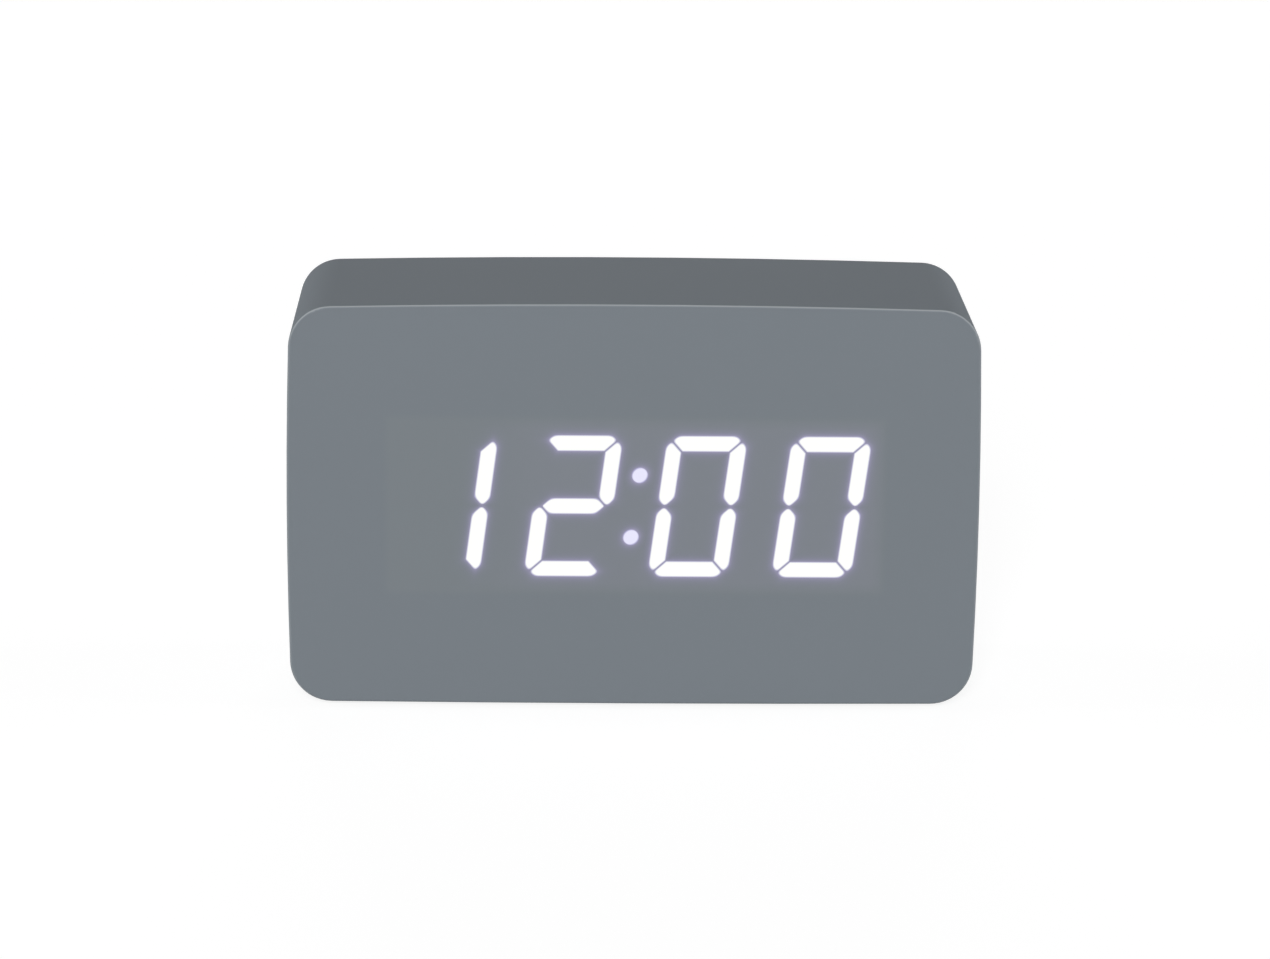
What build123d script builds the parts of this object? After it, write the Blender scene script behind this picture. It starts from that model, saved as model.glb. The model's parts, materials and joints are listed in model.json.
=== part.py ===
from build123d import *
import math
import os

# Desk clock with lit seven-segment digits that show through a thin face.
# X is to the right seen from the front, Y goes back, Z is up from the desk. Millimetres.

# Overall size
overall_width = 150.0
overall_depth = 55.0
overall_height = 90.0
foot_lift = 1.0  # clear height of the case above the desk

# Case shell
corner_radius = 9.2
top_bow = 1.0  # how far the middle of the top stands out
bottom_bow = 0.3
side_bow = 0.8
wall = 2.5
face_thickness = 2.0
skin_thickness = 1.0  # face left over the display
front_edge_radius = 0.6
rear_edge_radius = 0.8
ledge_width = 1.2
ledge_depth = 1.6
cut_overrun = 1.0  # how far every cut runs past the face it opens

# Rear cover
cover_inset = 1.0
cover_thickness = 2.0
cover_gap = 0.2
label_width = 50.0
label_height = 11.0
label_depth = 0.3
label_corner = 1.5
label_above_door = 5.6

# Screws that hold the rear cover, and the posts that they enter
post_inset_x = 9.0  # from the sides of the case
post_inset_z = 13.5  # from the top and bottom of the case
post_radius = 3.5
post_pilot_depth = 14.0
post_rib = 1.2
screw_shank_radius = 1.2
screw_length = 12.0
screw_head_radius = 2.6
screw_head_height = 1.5
screw_head_round = 0.5
screw_head_gap = 0.3
screw_sink_depth = 0.9
screw_hole_gap = 0.3
screw_fit = 0.05
cross_length = 3.0
cross_width = 0.8
cross_depth = 0.8

# Digits, as the face shows them
digit_height = 31.5
digit_width = 17.5
digit_pitch = 26.9
digit_slant = 7.5  # degrees
digit_shift = 0.4  # the row of digits stands this far right of the middle
digit_corner_cut = 1.13
stroke_width = 3.55
stroke_gap = 0.22
stroke_tip_shift = 0.2  # how far an upright's middle tip stands outwards and past a plain point
stroke_radius = 0.8  # of the corners that no value below names
stroke_outer_radius = 1.6  # where the digit's own outline turns its corners
stroke_point_radius = 0.6  # at the sharp ends
stroke_tip_radius = 1.0  # at the uprights' middle tips
dot_radius = 1.75
dot_spacing = 13.8
guide_depth = 5.5  # length of a light guide behind the skin

# Display module
reflector_width = 108.0
reflector_height = 39.0
reflector_depth = 7.0
reflector_gap = 0.2
reflector_corner = 1.0
gasket_width = 1.4
display_board_width = 124.0
board_thickness = 1.6
board_corner = 1.0
display_boss_inset_x = 3.5  # from the ends of the display board
display_boss_inset_z = 4.0
display_boss_radius = 2.5
led_length = 2.0
led_width = 1.25
led_height = 0.7
led_spread_share = 0.25  # of the stroke's own length, each side of its middle

# Small screws that hold both boards
small_shank_radius = 0.9
small_length = 5.0
small_head_radius = 1.9
small_head_height = 1.3
small_head_round = 0.4
small_cross_length = 2.2
small_cross_width = 0.6
small_cross_depth = 0.6
small_hole_gap = 0.2

# Main board, which fills the room between the battery tray and the right posts
board_post_gap = 1.5
board_tray_gap = 7.0
board_height = 60.0
board_standoff = 7.0  # between the cover and the board
board_boss_inset = 3.5  # from the edges of the board
board_boss_radius = 2.75

# Push keys
key_pitch = 12.0
key_rise = 20.5  # above the middle of the case
key_radius = 3.5
key_proud = 0.7
key_edge_round = 0.4
key_hole_gap = 0.2
key_flange_radius = 4.5
key_flange_depth = 1.0
key_stem_radius = 1.8
key_stem_depth = 1.0
key_travel = 0.5
key_icon_depth = 0.25
key_icon_line = 0.6
key_icon_size = 3.2
key_icon_ring = 1.5
key_bell_radius = 1.05
key_clapper_radius = 0.35
key_dish_radius = 2.9
key_dish_depth = 0.15
tact_side = 6.0
tact_corner = 0.5
tact_height = 3.4
plunger_radius = 1.7
plunger_gap = 0.1
plunger_hidden = 1.4  # length of the plunger inside its base at rest
plunger_spare = 0.2  # room left under the plunger at full travel

# Slide switch
switch_from_board_x = -16.0
switch_travel = 2.0
switch_grip_length = 4.6
switch_grip_width = 3.2
switch_grip_proud = 0.6
switch_grip_rib = 0.5
switch_grip_rib_depth = 0.3
switch_slot_gap = 0.2
switch_flange_length = 9.8
switch_flange_width = 5.6
switch_flange_depth = 0.8
switch_flange_gap = 0.1
switch_base_length = 8.6
switch_base_width = 3.8
switch_base_height = 3.4
switch_window_width = 1.6
switch_window_depth = 1.6
switch_lever_length = 1.4
switch_lever_width = 1.2
switch_lever_foot_gap = 0.2
switch_mark_offset = 7.0  # the on and off marks stand this far from the slot's middle
switch_mark_size = 2.2
switch_mark_line = 0.5
switch_mark_depth = 0.2

# Sounder and its slots
sounder_from_board_x = 14.0
sounder_drop = 1.5  # below the middle of the case
sounder_radius = 6.0
sounder_height = 6.2
sounder_hole_radius = 1.0
sounder_hole_depth = 1.2
sounder_edge_round = 0.4
sound_slot_width = 1.3
sound_slot_pitch = 2.6
sound_slot_count = 5

# Power socket
socket_drop = 21.5  # below the middle of the case
socket_width = 8.94
socket_height = 3.26
socket_shell = 0.3
socket_sink = 0.5  # its mouth is this far under the cover's outer face
socket_gap = 0.25
socket_floor = 1.0
tongue_width = 6.69
tongue_thickness = 0.7
tongue_set_back = 0.8

# Parts on the main board's front side, placed from the middle of the board
chip_from_board_x = -12.0
chip_from_board_z = -1.5
chip_side = 10.0
chip_height = 1.5
chip_corner = 0.4
chip_mark_radius = 0.5
chip_mark_depth = 0.2
capacitor_from_board_x = 18.0
capacitor_from_board_z = -11.5
capacitor_radius = 3.15
capacitor_height = 7.7
capacitor_base_side = 6.6
capacitor_base_height = 1.2
capacitor_edge_round = 0.5
crystal_from_board_x = 1.0
crystal_from_board_z = -9.5
crystal_radius = 1.0
crystal_length = 6.0
resistor_from_board_x = 10.0
resistor_from_board_z = 18.5
resistor_length = 1.6
resistor_width = 0.8
resistor_height = 0.45
resistor_pitch_x = 3.0
resistor_pitch_z = 2.2
resistor_columns = 4
resistor_rows = 3

# Driver chip on the back of the display board
driver_x = -24.0
driver_length = 15.4
driver_width = 7.5
driver_height = 2.3

# Ribbon cable and its headers
header_length = 16.0
header_width = 5.0
header_height = 5.0
header_corner = 0.5
ribbon_rise = 10.5  # the main board's header is this far above the display's
ribbon_pitch = 1.27
ribbon_cores = 10
ribbon_core_radius = 0.5
ribbon_lead_in = 8.0
ribbon_slope = 3.5
ribbon_bend_radius = 3.0

# Cells and their tray
cell_radius = 5.25
cell_length = 44.5
cell_tip_radius = 1.9
cell_tip_length = 0.9
cell_edge_round = 0.4
cell_pitch = 11.6
cell_count = 3
cell_seat_gap = 0.3
tray_from_post = 9.5  # from the left posts to the tray's inner end
tray_drop = 4.5  # the tray's middle is this far below the middle of the case
tray_side_gap = 1.2  # more than the cells' pitches need
tray_depth = 12.0  # from the cover's inner face to the tray's floor
tray_wall = 1.5
cradle_thickness = 1.2
cradle_depth = 4.6
cradle_spread = 14.0

# Battery contacts
contact_thickness = 0.4
contact_width = 9.0
contact_height = 9.5
contact_corner = 0.8
contact_wall_gap = 0.1
contact_tab_width = 3.0
contact_tab_length = 2.5
contact_slot_gap = 0.1
spring_room = 5.5  # between a cell's flat end and its contact
spring_wire_radius = 0.28
spring_base_radius = 3.4
spring_tip_radius = 1.9
spring_turns = 4
spring_arcs = 4  # arcs in each turn
spring_end_gap = 0.02

# Battery door
door_lap_x = 2.5  # past the tray's inside at each end
door_lap_z = 2.3
door_thickness = 1.6
door_corner = 2.0
door_gap = 0.3
door_seat_gap = 0.1
door_seat_width = 1.5
door_seat_depth = 2.0
door_rib = 1.2
door_rib_depth = 1.1
door_rib_length = 30.0
door_rib_spread = 12.0
hook_spread = 16.0
hook_width = 6.0
hook_inner_radius = 2.5
hook_outer_radius = 3.4
hook_down_angle = 30.0
hook_up_angle = 35.0
hook_notch_gap = 0.5
latch_width = 10.0
latch_length = 7.0
latch_slit = 0.8
latch_nose = 0.18
latch_rib = 0.7
latch_rib_pitch = 1.5
latch_rib_length = 7.0
latch_rib_height = 0.3
latch_rib_count = 3
finger_width = 14.0
finger_height = 5.0
finger_depth = 1.2
finger_corner = 2.0

# Battery leads
lead_radius = 0.7
lead_bend_radius = 2.6
lead_header_from_board_x = -22.0
lead_header_from_board_z = -12.0
lead_header_width = 7.5
lead_header_height = 6.0
lead_header_depth = 5.0
lead_spread = 1.25  # each lead's distance from the middle of its header
lead_clear = 3.0  # between a contact's tab and the lead that turns past it
lead_front_of_tray = 1.5
lead_front_gap = 3.6  # the leads run this far in front of the main board

# Touch plate under the top wall
touch_from_board = 17.0  # from the plate's middle to the main board's left edge
touch_y = -2.0
touch_length = 36.0
touch_width = 16.0
touch_thickness = 0.4
touch_gap = 0.2
touch_lead_x = 2.0  # from the plate's right end
touch_lead_radius = 0.5
touch_lead_drop = 6.0
touch_lead_from_board_x = -18.0
touch_lead_land = 2.0  # below the main board's top edge
touch_lead_bend = 2.0

# Rubber feet
foot_inset_x = 19.0  # from the sides of the case
foot_inset_y = 10.5  # from its front and back
foot_radius = 4.5
foot_sink = 0.8
foot_gap = 0.2
foot_edge_round = 0.3

# Places that follow from the sizes
case_height = overall_height - foot_lift
middle_z = foot_lift + case_height / 2
front_y = -overall_depth / 2
rear_y = overall_depth / 2
face_inner_y = front_y + face_thickness
skin_inner_y = front_y + skin_thickness
cover_outer_y = rear_y - cover_inset
cover_inner_y = cover_outer_y - cover_thickness
display_board_y = skin_inner_y + reflector_depth
display_back_y = display_board_y + board_thickness
board_rear_y = cover_inner_y - board_standoff
board_front_y = board_rear_y - board_thickness
post_x = overall_width / 2 - post_inset_x
post_z = case_height / 2 - post_inset_z
tray_length = cell_length + spring_room + 2 * (contact_wall_gap + contact_thickness)
tray_height = cell_count * cell_pitch + tray_side_gap
tray_x = tray_from_post - post_x + tray_length / 2
tray_z = middle_z - tray_drop
cell_pushed_x = tray_length / 2 - contact_wall_gap - contact_thickness
door_length = tray_length + 2 * door_lap_x
door_height = tray_height + 2 * door_lap_z
board_left_x = tray_x + tray_length / 2 + tray_wall + board_tray_gap
board_right_x = post_x - post_radius - board_post_gap
board_width = board_right_x - board_left_x
board_x = (board_left_x + board_right_x) / 2
touch_x = board_left_x - touch_from_board
key_z = middle_z + key_rise
foot_x = overall_width / 2 - foot_inset_x
foot_y = overall_depth / 2 - foot_inset_y
sounder_x = board_x + sounder_from_board_x
sounder_z = middle_z - sounder_drop
switch_x = board_x + switch_from_board_x
switch_z = middle_z - sounder_drop
chip_x = board_x + chip_from_board_x
chip_z = middle_z + chip_from_board_z
capacitor_x = board_x + capacitor_from_board_x
capacitor_z = middle_z + capacitor_from_board_z
lead_header_x = board_x + lead_header_from_board_x
lead_header_z = middle_z + lead_header_from_board_z
socket_z = middle_z - socket_drop
tray_floor_y = cover_inner_y - tray_depth
cell_y = tray_floor_y + cell_seat_gap + cell_radius
door_inner_y = cover_outer_y - door_thickness
door_bottom_z = tray_z - door_height / 2
post_places = [(x, middle_z + z) for x in (-post_x, post_x) for z in (-post_z, post_z)]
digit_names = ("hour_tens", "hour_units", "minute_tens", "minute_units")
lit_strokes = {"hour_tens": "bc", "hour_units": "abged", "minute_tens": "abcdef", "minute_units": "abcdef"}
digit_places = {
    name: digit_shift + (n - (len(digit_names) - 1) / 2) * digit_pitch for n, name in enumerate(digit_names)
}
key_names = ("alarm", "time", "plus", "minus")
key_places = {
    name: board_x + ((len(key_names) - 1) / 2 - n) * key_pitch for n, name in enumerate(key_names)
}
cell_names = ("top", "middle", "bottom")


def facing_front(y):
    """A plane at depth y that looks forward, with its own Y along the clock's Z."""
    return Plane(origin=(0, y, 0), x_dir=(1, 0, 0), z_dir=(0, -1, 0))


def slab(outline, y_from, y_to):
    """The solid between two depths that has this outline."""
    return extrude(facing_front(y_to) * outline, y_to - y_from)


def rod(x, z, radius, y_from, y_to):
    return slab(Pos(x, z) * Circle(radius), y_from, y_to)


def block(x, z, width, height, y_from, y_to):
    return slab(Pos(x, z) * Rectangle(width, height), y_from, y_to)


def case_outline(inset=0):
    """The bowed outline of the case, or one that lies this far inside it."""
    half_width = overall_width / 2 - inset
    half_height = case_height / 2 - inset
    right = half_width - side_bow
    top = half_height - top_bow
    bottom = bottom_bow - half_height
    middle = (top + bottom) / 2
    edges = [
        ThreePointArc((-right, top), (0, half_height), (right, top)),
        ThreePointArc((right, top), (half_width, middle), (right, bottom)),
        ThreePointArc((right, bottom), (0, -half_height), (-right, bottom)),
        ThreePointArc((-right, bottom), (-half_width, middle), (-right, top)),
    ]
    outline = make_face(edges)
    return Pos(0, middle_z) * fillet(outline.vertices(), corner_radius - inset)


def stroke_corners():
    """Corners of the seven strokes and their radii about the digit's middle, before they lean."""
    w = digit_width / 2
    h = digit_height / 2
    s = stroke_width
    c = digit_corner_cut
    g = stroke_gap / math.sqrt(2)
    t = stroke_tip_shift
    top = [
        (-w + g + 2 * c, h, stroke_outer_radius),
        (w - g - 2 * c, h, stroke_outer_radius),
        (w - g - c, h - c, stroke_point_radius),
        (w - g - s, h - s, stroke_radius),
        (-w + g + s, h - s, stroke_radius),
        (-w + g + c, h - c, stroke_point_radius),
    ]
    upper_left = [
        (-w, h - g - 2 * c, stroke_outer_radius),
        (-w + c, h - g - c, stroke_point_radius),
        (-w + s, h - g - s, stroke_radius),
        (-w + s, g + s / 2, stroke_radius),
        (-w + s / 2 - t, g - t, stroke_tip_radius),
        (-w, g + s / 2 - 2 * t, stroke_radius),
    ]
    middle = [
        (-w + s / 2 + g, 0, stroke_point_radius),
        (-w + s + g, s / 2, stroke_radius),
        (w - s - g, s / 2, stroke_radius),
        (w - s / 2 - g, 0, stroke_point_radius),
        (w - s - g, -s / 2, stroke_radius),
        (-w + s + g, -s / 2, stroke_radius),
    ]
    return {
        "a": top,
        "b": [(-x, z, r) for x, z, r in upper_left],
        "c": [(-x, -z, r) for x, z, r in upper_left],
        "d": [(x, -z, r) for x, z, r in top],
        "e": [(x, -z, r) for x, z, r in upper_left],
        "f": upper_left,
        "g": middle,
    }


def lean(x, z):
    """Moves a point of an upright digit to where it lies once the digit leans."""
    return x + z * math.tan(math.radians(digit_slant)), z


def stroke_outline(corners, digit_x):
    outline = make_face(Polyline(*[lean(x, z) for x, z, radius in corners], close=True))
    for x, z, radius in corners:
        corner = outline.vertices().sort_by_distance(lean(x, z))[0]
        outline = fillet(corner, radius)
    return Pos(digit_x, middle_z) * outline


def dot_outlines():
    """The two dots of the colon, on the leaning line midway between hours and minutes."""
    places = [lean(0, z) for z in (dot_spacing / 2, -dot_spacing / 2)]
    return [Pos(digit_shift + x, middle_z + z) * Circle(dot_radius) for x, z in places]


def digit_outlines():
    """Every stroke of the four digits as {digit: {stroke: outline}}."""
    strokes = stroke_corners()
    return {
        name: {letter: stroke_outline(corners, x) for letter, corners in strokes.items()}
        for name, x in digit_places.items()
    }


def light_windows():
    """All the light paths as one list of outlines."""
    strokes = [outline for digit in digit_outlines().values() for outline in digit.values()]
    return strokes + dot_outlines()


def light_guide(outline):
    return slab(outline, front_y, skin_inner_y + guide_depth)


def front_housing():
    """One moulding: the face and the four walls, open at the back."""
    shell = slab(case_outline(), front_y, rear_y)
    shell = fillet(shell.faces().sort_by(Axis.Y)[0].edges(), front_edge_radius)
    shell = fillet(shell.faces().sort_by(Axis.Y)[-1].edges(), rear_edge_radius)
    shell -= slab(case_outline(wall), face_inner_y, rear_y + cut_overrun)
    ledge_front_y = cover_inner_y - ledge_depth
    ledge = slab(case_outline(wall), ledge_front_y, cover_inner_y)
    ledge -= slab(case_outline(wall + ledge_width), ledge_front_y - cut_overrun, rear_y)
    shell += ledge
    shell += cover_posts()
    shell += display_bosses()
    pocket = Rectangle(reflector_width + 2 * reflector_gap, reflector_height + 2 * reflector_gap)
    pocket = fillet(pocket.vertices(), reflector_corner)
    shell -= slab(Pos(digit_shift, middle_z) * pocket, skin_inner_y, face_inner_y + cut_overrun)
    for outline in light_windows():
        shell -= slab(outline, front_y - cut_overrun, skin_inner_y + cut_overrun)
    for x, z in post_places:
        shell -= rod(x, z, screw_shank_radius + screw_fit, cover_inner_y - post_pilot_depth, rear_y)
    for x, z in display_boss_places():
        shell -= rod(x, z, small_shank_radius + screw_fit, face_inner_y, display_board_y + cut_overrun)
    for x, y in foot_places():
        shell -= Pos(x, y, 0) * Cylinder(
            foot_radius + foot_gap, foot_top_z(), align=(Align.CENTER, Align.CENTER, Align.MIN)
        )
    return shell


def cover_posts():
    """Four posts from the face to the cover, each with a rib to its side wall."""
    posts = []
    for x, z in post_places:
        side = math.copysign(1, x)
        rib_length = overall_width / 2 - wall / 2 - abs(x)
        posts.append(rod(x, z, post_radius, face_inner_y, cover_inner_y))
        rib_y = cover_inner_y - ledge_depth
        posts.append(block(x + side * rib_length / 2, z, rib_length, post_rib, face_inner_y, rib_y))
    return posts


def display_boss_places():
    x = display_board_width / 2 - display_boss_inset_x
    z = reflector_height / 2 - display_boss_inset_z
    return [(digit_shift + i * x, middle_z + j * z) for i in (-1, 1) for j in (-1, 1)]


def display_bosses():
    return [
        rod(x, z, display_boss_radius, face_inner_y, display_board_y) for x, z in display_boss_places()
    ]


def foot_places():
    return [(i * foot_x, j * foot_y) for i in (-1, 1) for j in (-1, 1)]


def foot_top_z():
    """Height of the flat pockets that the feet sit in, above the bowed underside."""
    bow_at_foot = bottom_bow * (foot_x / (overall_width / 2)) ** 2
    return foot_lift + bow_at_foot + foot_sink


def rubber_feet():
    feet = []
    for x, y in foot_places():
        upright = (Align.CENTER, Align.CENTER, Align.MIN)
        foot = Pos(x, y, 0) * Cylinder(foot_radius, foot_top_z(), align=upright)
        feet.append(fillet(foot.edges().sort_by(Axis.Z)[0], foot_edge_round))
    return feet


def reflector_block():
    """Plastic block with one straight light well behind each window."""
    outline = Rectangle(reflector_width, reflector_height)
    outline = Pos(digit_shift, middle_z) * fillet(outline.vertices(), reflector_corner)
    body = slab(outline, skin_inner_y, display_board_y)
    for window in light_windows():
        body -= slab(window, skin_inner_y - cut_overrun, display_board_y + cut_overrun)
    return body


def display_gasket():
    """Foam frame round the reflector that keeps its light from spilling inside the case."""
    inner_width = reflector_width + 2 * reflector_gap
    inner_height = reflector_height + 2 * reflector_gap
    outer = Rectangle(inner_width + 2 * gasket_width, inner_height + 2 * gasket_width)
    ring = Pos(digit_shift, middle_z) * (outer - Rectangle(inner_width, inner_height))
    return slab(ring, face_inner_y, display_board_y)


def led_places():
    """Two emitters for each stroke and one for each dot."""
    across = (digit_width - stroke_width) * led_spread_share
    along = (digit_height - stroke_width) / 2 * led_spread_share
    middle_x = (digit_width - stroke_width) / 2
    middle_of_side = (digit_height - stroke_width) / 4
    row_z = (digit_height - stroke_width) / 2
    places = []
    for digit_x in digit_places.values():
        for z in (-row_z, 0, row_z):
            places += [(digit_x, i * across, z, True) for i in (-1, 1)]
        for x in (-middle_x, middle_x):
            for z in (-middle_of_side, middle_of_side):
                places += [(digit_x, x, z + i * along, False) for i in (-1, 1)]
    places += [(digit_shift, 0, i * dot_spacing / 2, True) for i in (-1, 1)]
    return places


def led_chips():
    chips = []
    for digit_x, upright_x, upright_z, flat in led_places():
        x, z = lean(upright_x, upright_z)
        width, height = (led_length, led_width) if flat else (led_width, led_length)
        chip_front_y = display_board_y - led_height
        chips.append(block(digit_x + x, middle_z + z, width, height, chip_front_y, display_board_y))
    return chips


def display_board():
    outline = Rectangle(display_board_width, reflector_height)
    outline = Pos(digit_shift, middle_z) * fillet(outline.vertices(), board_corner)
    board = slab(outline, display_board_y, display_back_y)
    for x, z in display_boss_places():
        hole = small_shank_radius + small_hole_gap
        board -= rod(x, z, hole, display_board_y - cut_overrun, display_back_y + cut_overrun)
    return board


def pan_screw(shank_radius, length, head_radius, head_height, head_round, cross):
    """A cross-head screw that stands on the origin and points down, head up."""
    bottom = (Align.CENTER, Align.CENTER, Align.MIN)
    head = Cylinder(head_radius, head_height, align=bottom)
    head = fillet(head.edges().sort_by(Axis.Z)[-1], head_round)
    shank = Cylinder(shank_radius, length, align=(Align.CENTER, Align.CENTER, Align.MAX))
    arm, bar, depth = cross
    slots = Rectangle(arm, bar) + Rectangle(bar, arm)
    return head + shank - Pos(0, 0, head_height - depth) * extrude(slots, depth + cut_overrun)


def place_screw(screw, x, y, z, points_forward):
    """Lays a screw along Y with the underside of its head at depth y."""
    turn = Rot(-90, 0, 0) if points_forward else Rot(90, 0, 0)
    return Pos(x, y, z) * turn * screw


def small_screw():
    cross = (small_cross_length, small_cross_width, small_cross_depth)
    return pan_screw(
        small_shank_radius, small_length, small_head_radius, small_head_height, small_head_round, cross
    )


def display_board_screws():
    return [place_screw(small_screw(), x, display_back_y, z, True) for x, z in display_boss_places()]


def driver_chip():
    y = display_back_y
    return block(driver_x, middle_z, driver_length, driver_width, y, y + driver_height)


def header(z, y_from, y_to):
    outline = Rectangle(header_length, header_width)
    outline = Pos(board_x, z) * fillet(outline.vertices(), header_corner)
    return slab(outline, y_from, y_to)


def display_header():
    return header(middle_z, display_back_y, display_back_y + header_height)


def main_board_header():
    return header(middle_z + ribbon_rise, board_front_y - header_height, board_front_y)


def ribbon_section():
    """Cross-section of the ribbon: a row of cores joined by a thin web."""
    span = (ribbon_cores - 1) * ribbon_pitch
    section = Rectangle(span, ribbon_core_radius)
    for n in range(ribbon_cores):
        section += Pos(n * ribbon_pitch - span / 2, 0) * Circle(ribbon_core_radius)
    return section


def ribbon_cable():
    """The flat cable from the display board's header to the main board's."""
    start_y = display_back_y + header_height
    end_y = board_front_y - header_height
    end_z = middle_z + ribbon_rise
    path = FilletPolyline(
        (board_x, start_y, middle_z),
        (board_x, start_y + ribbon_lead_in, middle_z),
        (board_x, start_y + ribbon_lead_in + ribbon_slope, end_z),
        (board_x, end_y, end_z),
        radius=ribbon_bend_radius,
    )
    start = Plane(origin=path @ 0, x_dir=(1, 0, 0), z_dir=path % 0)
    return sweep(start * ribbon_section(), path=path)


def board_boss_places():
    x = board_width / 2 - board_boss_inset
    z = board_height / 2 - board_boss_inset
    return [(board_x + i * x, middle_z + j * z) for i in (-1, 1) for j in (-1, 1)]


def main_board():
    outline = Rectangle(board_width, board_height)
    outline = Pos(board_x, middle_z) * fillet(outline.vertices(), board_corner)
    board = slab(outline, board_front_y, board_rear_y)
    for x, z in board_boss_places():
        hole = small_shank_radius + small_hole_gap
        board -= rod(x, z, hole, board_front_y - cut_overrun, board_rear_y + cut_overrun)
    return board


def main_board_screws():
    return [place_screw(small_screw(), x, board_front_y, z, False) for x, z in board_boss_places()]


def controller_chip():
    outline = Rectangle(chip_side, chip_side)
    outline = Pos(chip_x, chip_z) * fillet(outline.vertices(), chip_corner)
    chip_face_y = board_front_y - chip_height
    chip = slab(outline, chip_face_y, board_front_y)
    mark = chip_side / 2 - 3 * chip_mark_radius
    mark_y = chip_face_y + chip_mark_depth
    return chip - rod(chip_x - mark, chip_z + mark, chip_mark_radius, chip_face_y - cut_overrun, mark_y)


def smoothing_capacitor():
    base_y = board_front_y - capacitor_base_height
    tip_y = board_front_y - capacitor_height
    can = rod(capacitor_x, capacitor_z, capacitor_radius, tip_y, base_y)
    can = fillet(can.edges().sort_by(Axis.Y)[0], capacitor_edge_round)
    side = capacitor_base_side
    return can + block(capacitor_x, capacitor_z, side, side, base_y, board_front_y)


def quartz_crystal():
    """A small can that lies along X on the board."""
    x = board_x + crystal_from_board_x
    z = middle_z + crystal_from_board_z
    can = Rot(0, 90, 0) * Cylinder(crystal_radius, crystal_length)
    return Pos(x, board_front_y - crystal_radius, z) * can


def board_resistors():
    face_y = board_front_y - resistor_height
    resistors = []
    for column in range(resistor_columns):
        for row in range(resistor_rows):
            x = board_x + resistor_from_board_x + column * resistor_pitch_x
            z = middle_z + resistor_from_board_z + row * resistor_pitch_z
            resistors.append(block(x, z, resistor_length, resistor_width, face_y, board_front_y))
    return resistors


def piezo_sounder():
    top_y = board_rear_y + sounder_height
    body = rod(sounder_x, sounder_z, sounder_radius, board_rear_y, top_y)
    body = fillet(body.edges().sort_by(Axis.Y)[-1], sounder_edge_round)
    hole_y = top_y - sounder_hole_depth
    return body - rod(sounder_x, sounder_z, sounder_hole_radius, hole_y, top_y + cut_overrun)


def tact_bases():
    """The fixed part of each key's switch, with the pocket that its plunger slides in."""
    top_y = board_rear_y + tact_height
    pocket_y = top_y - plunger_hidden - key_travel - plunger_spare
    bases = []
    for x in key_places.values():
        outline = Rectangle(tact_side, tact_side)
        outline = Pos(x, key_z) * fillet(outline.vertices(), tact_corner)
        base = slab(outline, board_rear_y, top_y)
        bases.append(base - rod(x, key_z, plunger_radius + plunger_gap, pocket_y, top_y + cut_overrun))
    return bases


def key_plunger(x):
    foot_y = board_rear_y + tact_height - plunger_hidden
    return rod(x, key_z, plunger_radius, foot_y, stem_end_y())


def stem_end_y():
    """Where a key's stem meets its plunger."""
    return cover_inner_y - key_flange_depth - key_stem_depth


def key_icon(name):
    """The mark cut into a key: a bell, a dial, plus or minus, as read from behind."""
    bar = Rectangle(key_icon_size, key_icon_line)
    if name == "plus":
        return bar + Rectangle(key_icon_line, key_icon_size)
    if name == "minus":
        return bar
    if name == "time":
        ring = Circle(key_icon_ring) - Circle(key_icon_ring - key_icon_line / 2)
        reach = key_icon_ring * 2 / 3
        line = key_icon_line / 2
        hands = Pos(0, reach / 2) * Rectangle(line, reach) + Pos(-reach / 2, 0) * Rectangle(reach, line)
        return ring + hands
    drop = key_bell_radius
    dome = Circle(key_bell_radius) + Pos(0, -drop / 2) * Rectangle(2 * key_bell_radius, drop)
    rim = Pos(0, -drop) * Rectangle(key_icon_size, key_icon_line / 2)
    clapper = Pos(0, -drop - key_icon_line) * Circle(key_clapper_radius)
    return Pos(0, drop / 2) * (dome + rim + clapper)


def key_cap(name, x):
    outer_y = cover_outer_y + key_proud
    cap = rod(x, key_z, key_radius, cover_inner_y, outer_y)
    cap = fillet(cap.edges().sort_by(Axis.Y)[-1], key_edge_round)
    flange_y = cover_inner_y - key_flange_depth
    cap += rod(x, key_z, key_flange_radius, flange_y, cover_inner_y)
    cap += rod(x, key_z, key_stem_radius, stem_end_y(), flange_y)
    dish_y = outer_y - key_dish_depth
    cap -= rod(x, key_z, key_dish_radius, dish_y, outer_y + cut_overrun)
    icon = Pos(x, key_z) * key_icon(name)
    return cap - slab(icon, dish_y - key_icon_depth, outer_y)


def switch_rest_x():
    """The slider's middle in its off place, at the end of its slot nearer the middle of the clock."""
    return switch_x - switch_travel / 2


def switch_base():
    top_y = board_rear_y + switch_base_height
    base = block(switch_x, switch_z, switch_base_length, switch_base_width, board_rear_y, top_y)
    window = switch_lever_length + switch_travel + 2 * switch_slot_gap
    window_y = top_y - switch_window_depth
    return base - block(switch_x, switch_z, window, switch_window_width, window_y, top_y + cut_overrun)


def switch_lever():
    foot_y = board_rear_y + switch_base_height - switch_window_depth + switch_lever_foot_gap
    top_y = cover_inner_y - switch_flange_gap - switch_flange_depth
    return block(switch_rest_x(), switch_z, switch_lever_length, switch_lever_width, foot_y, top_y)


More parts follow.
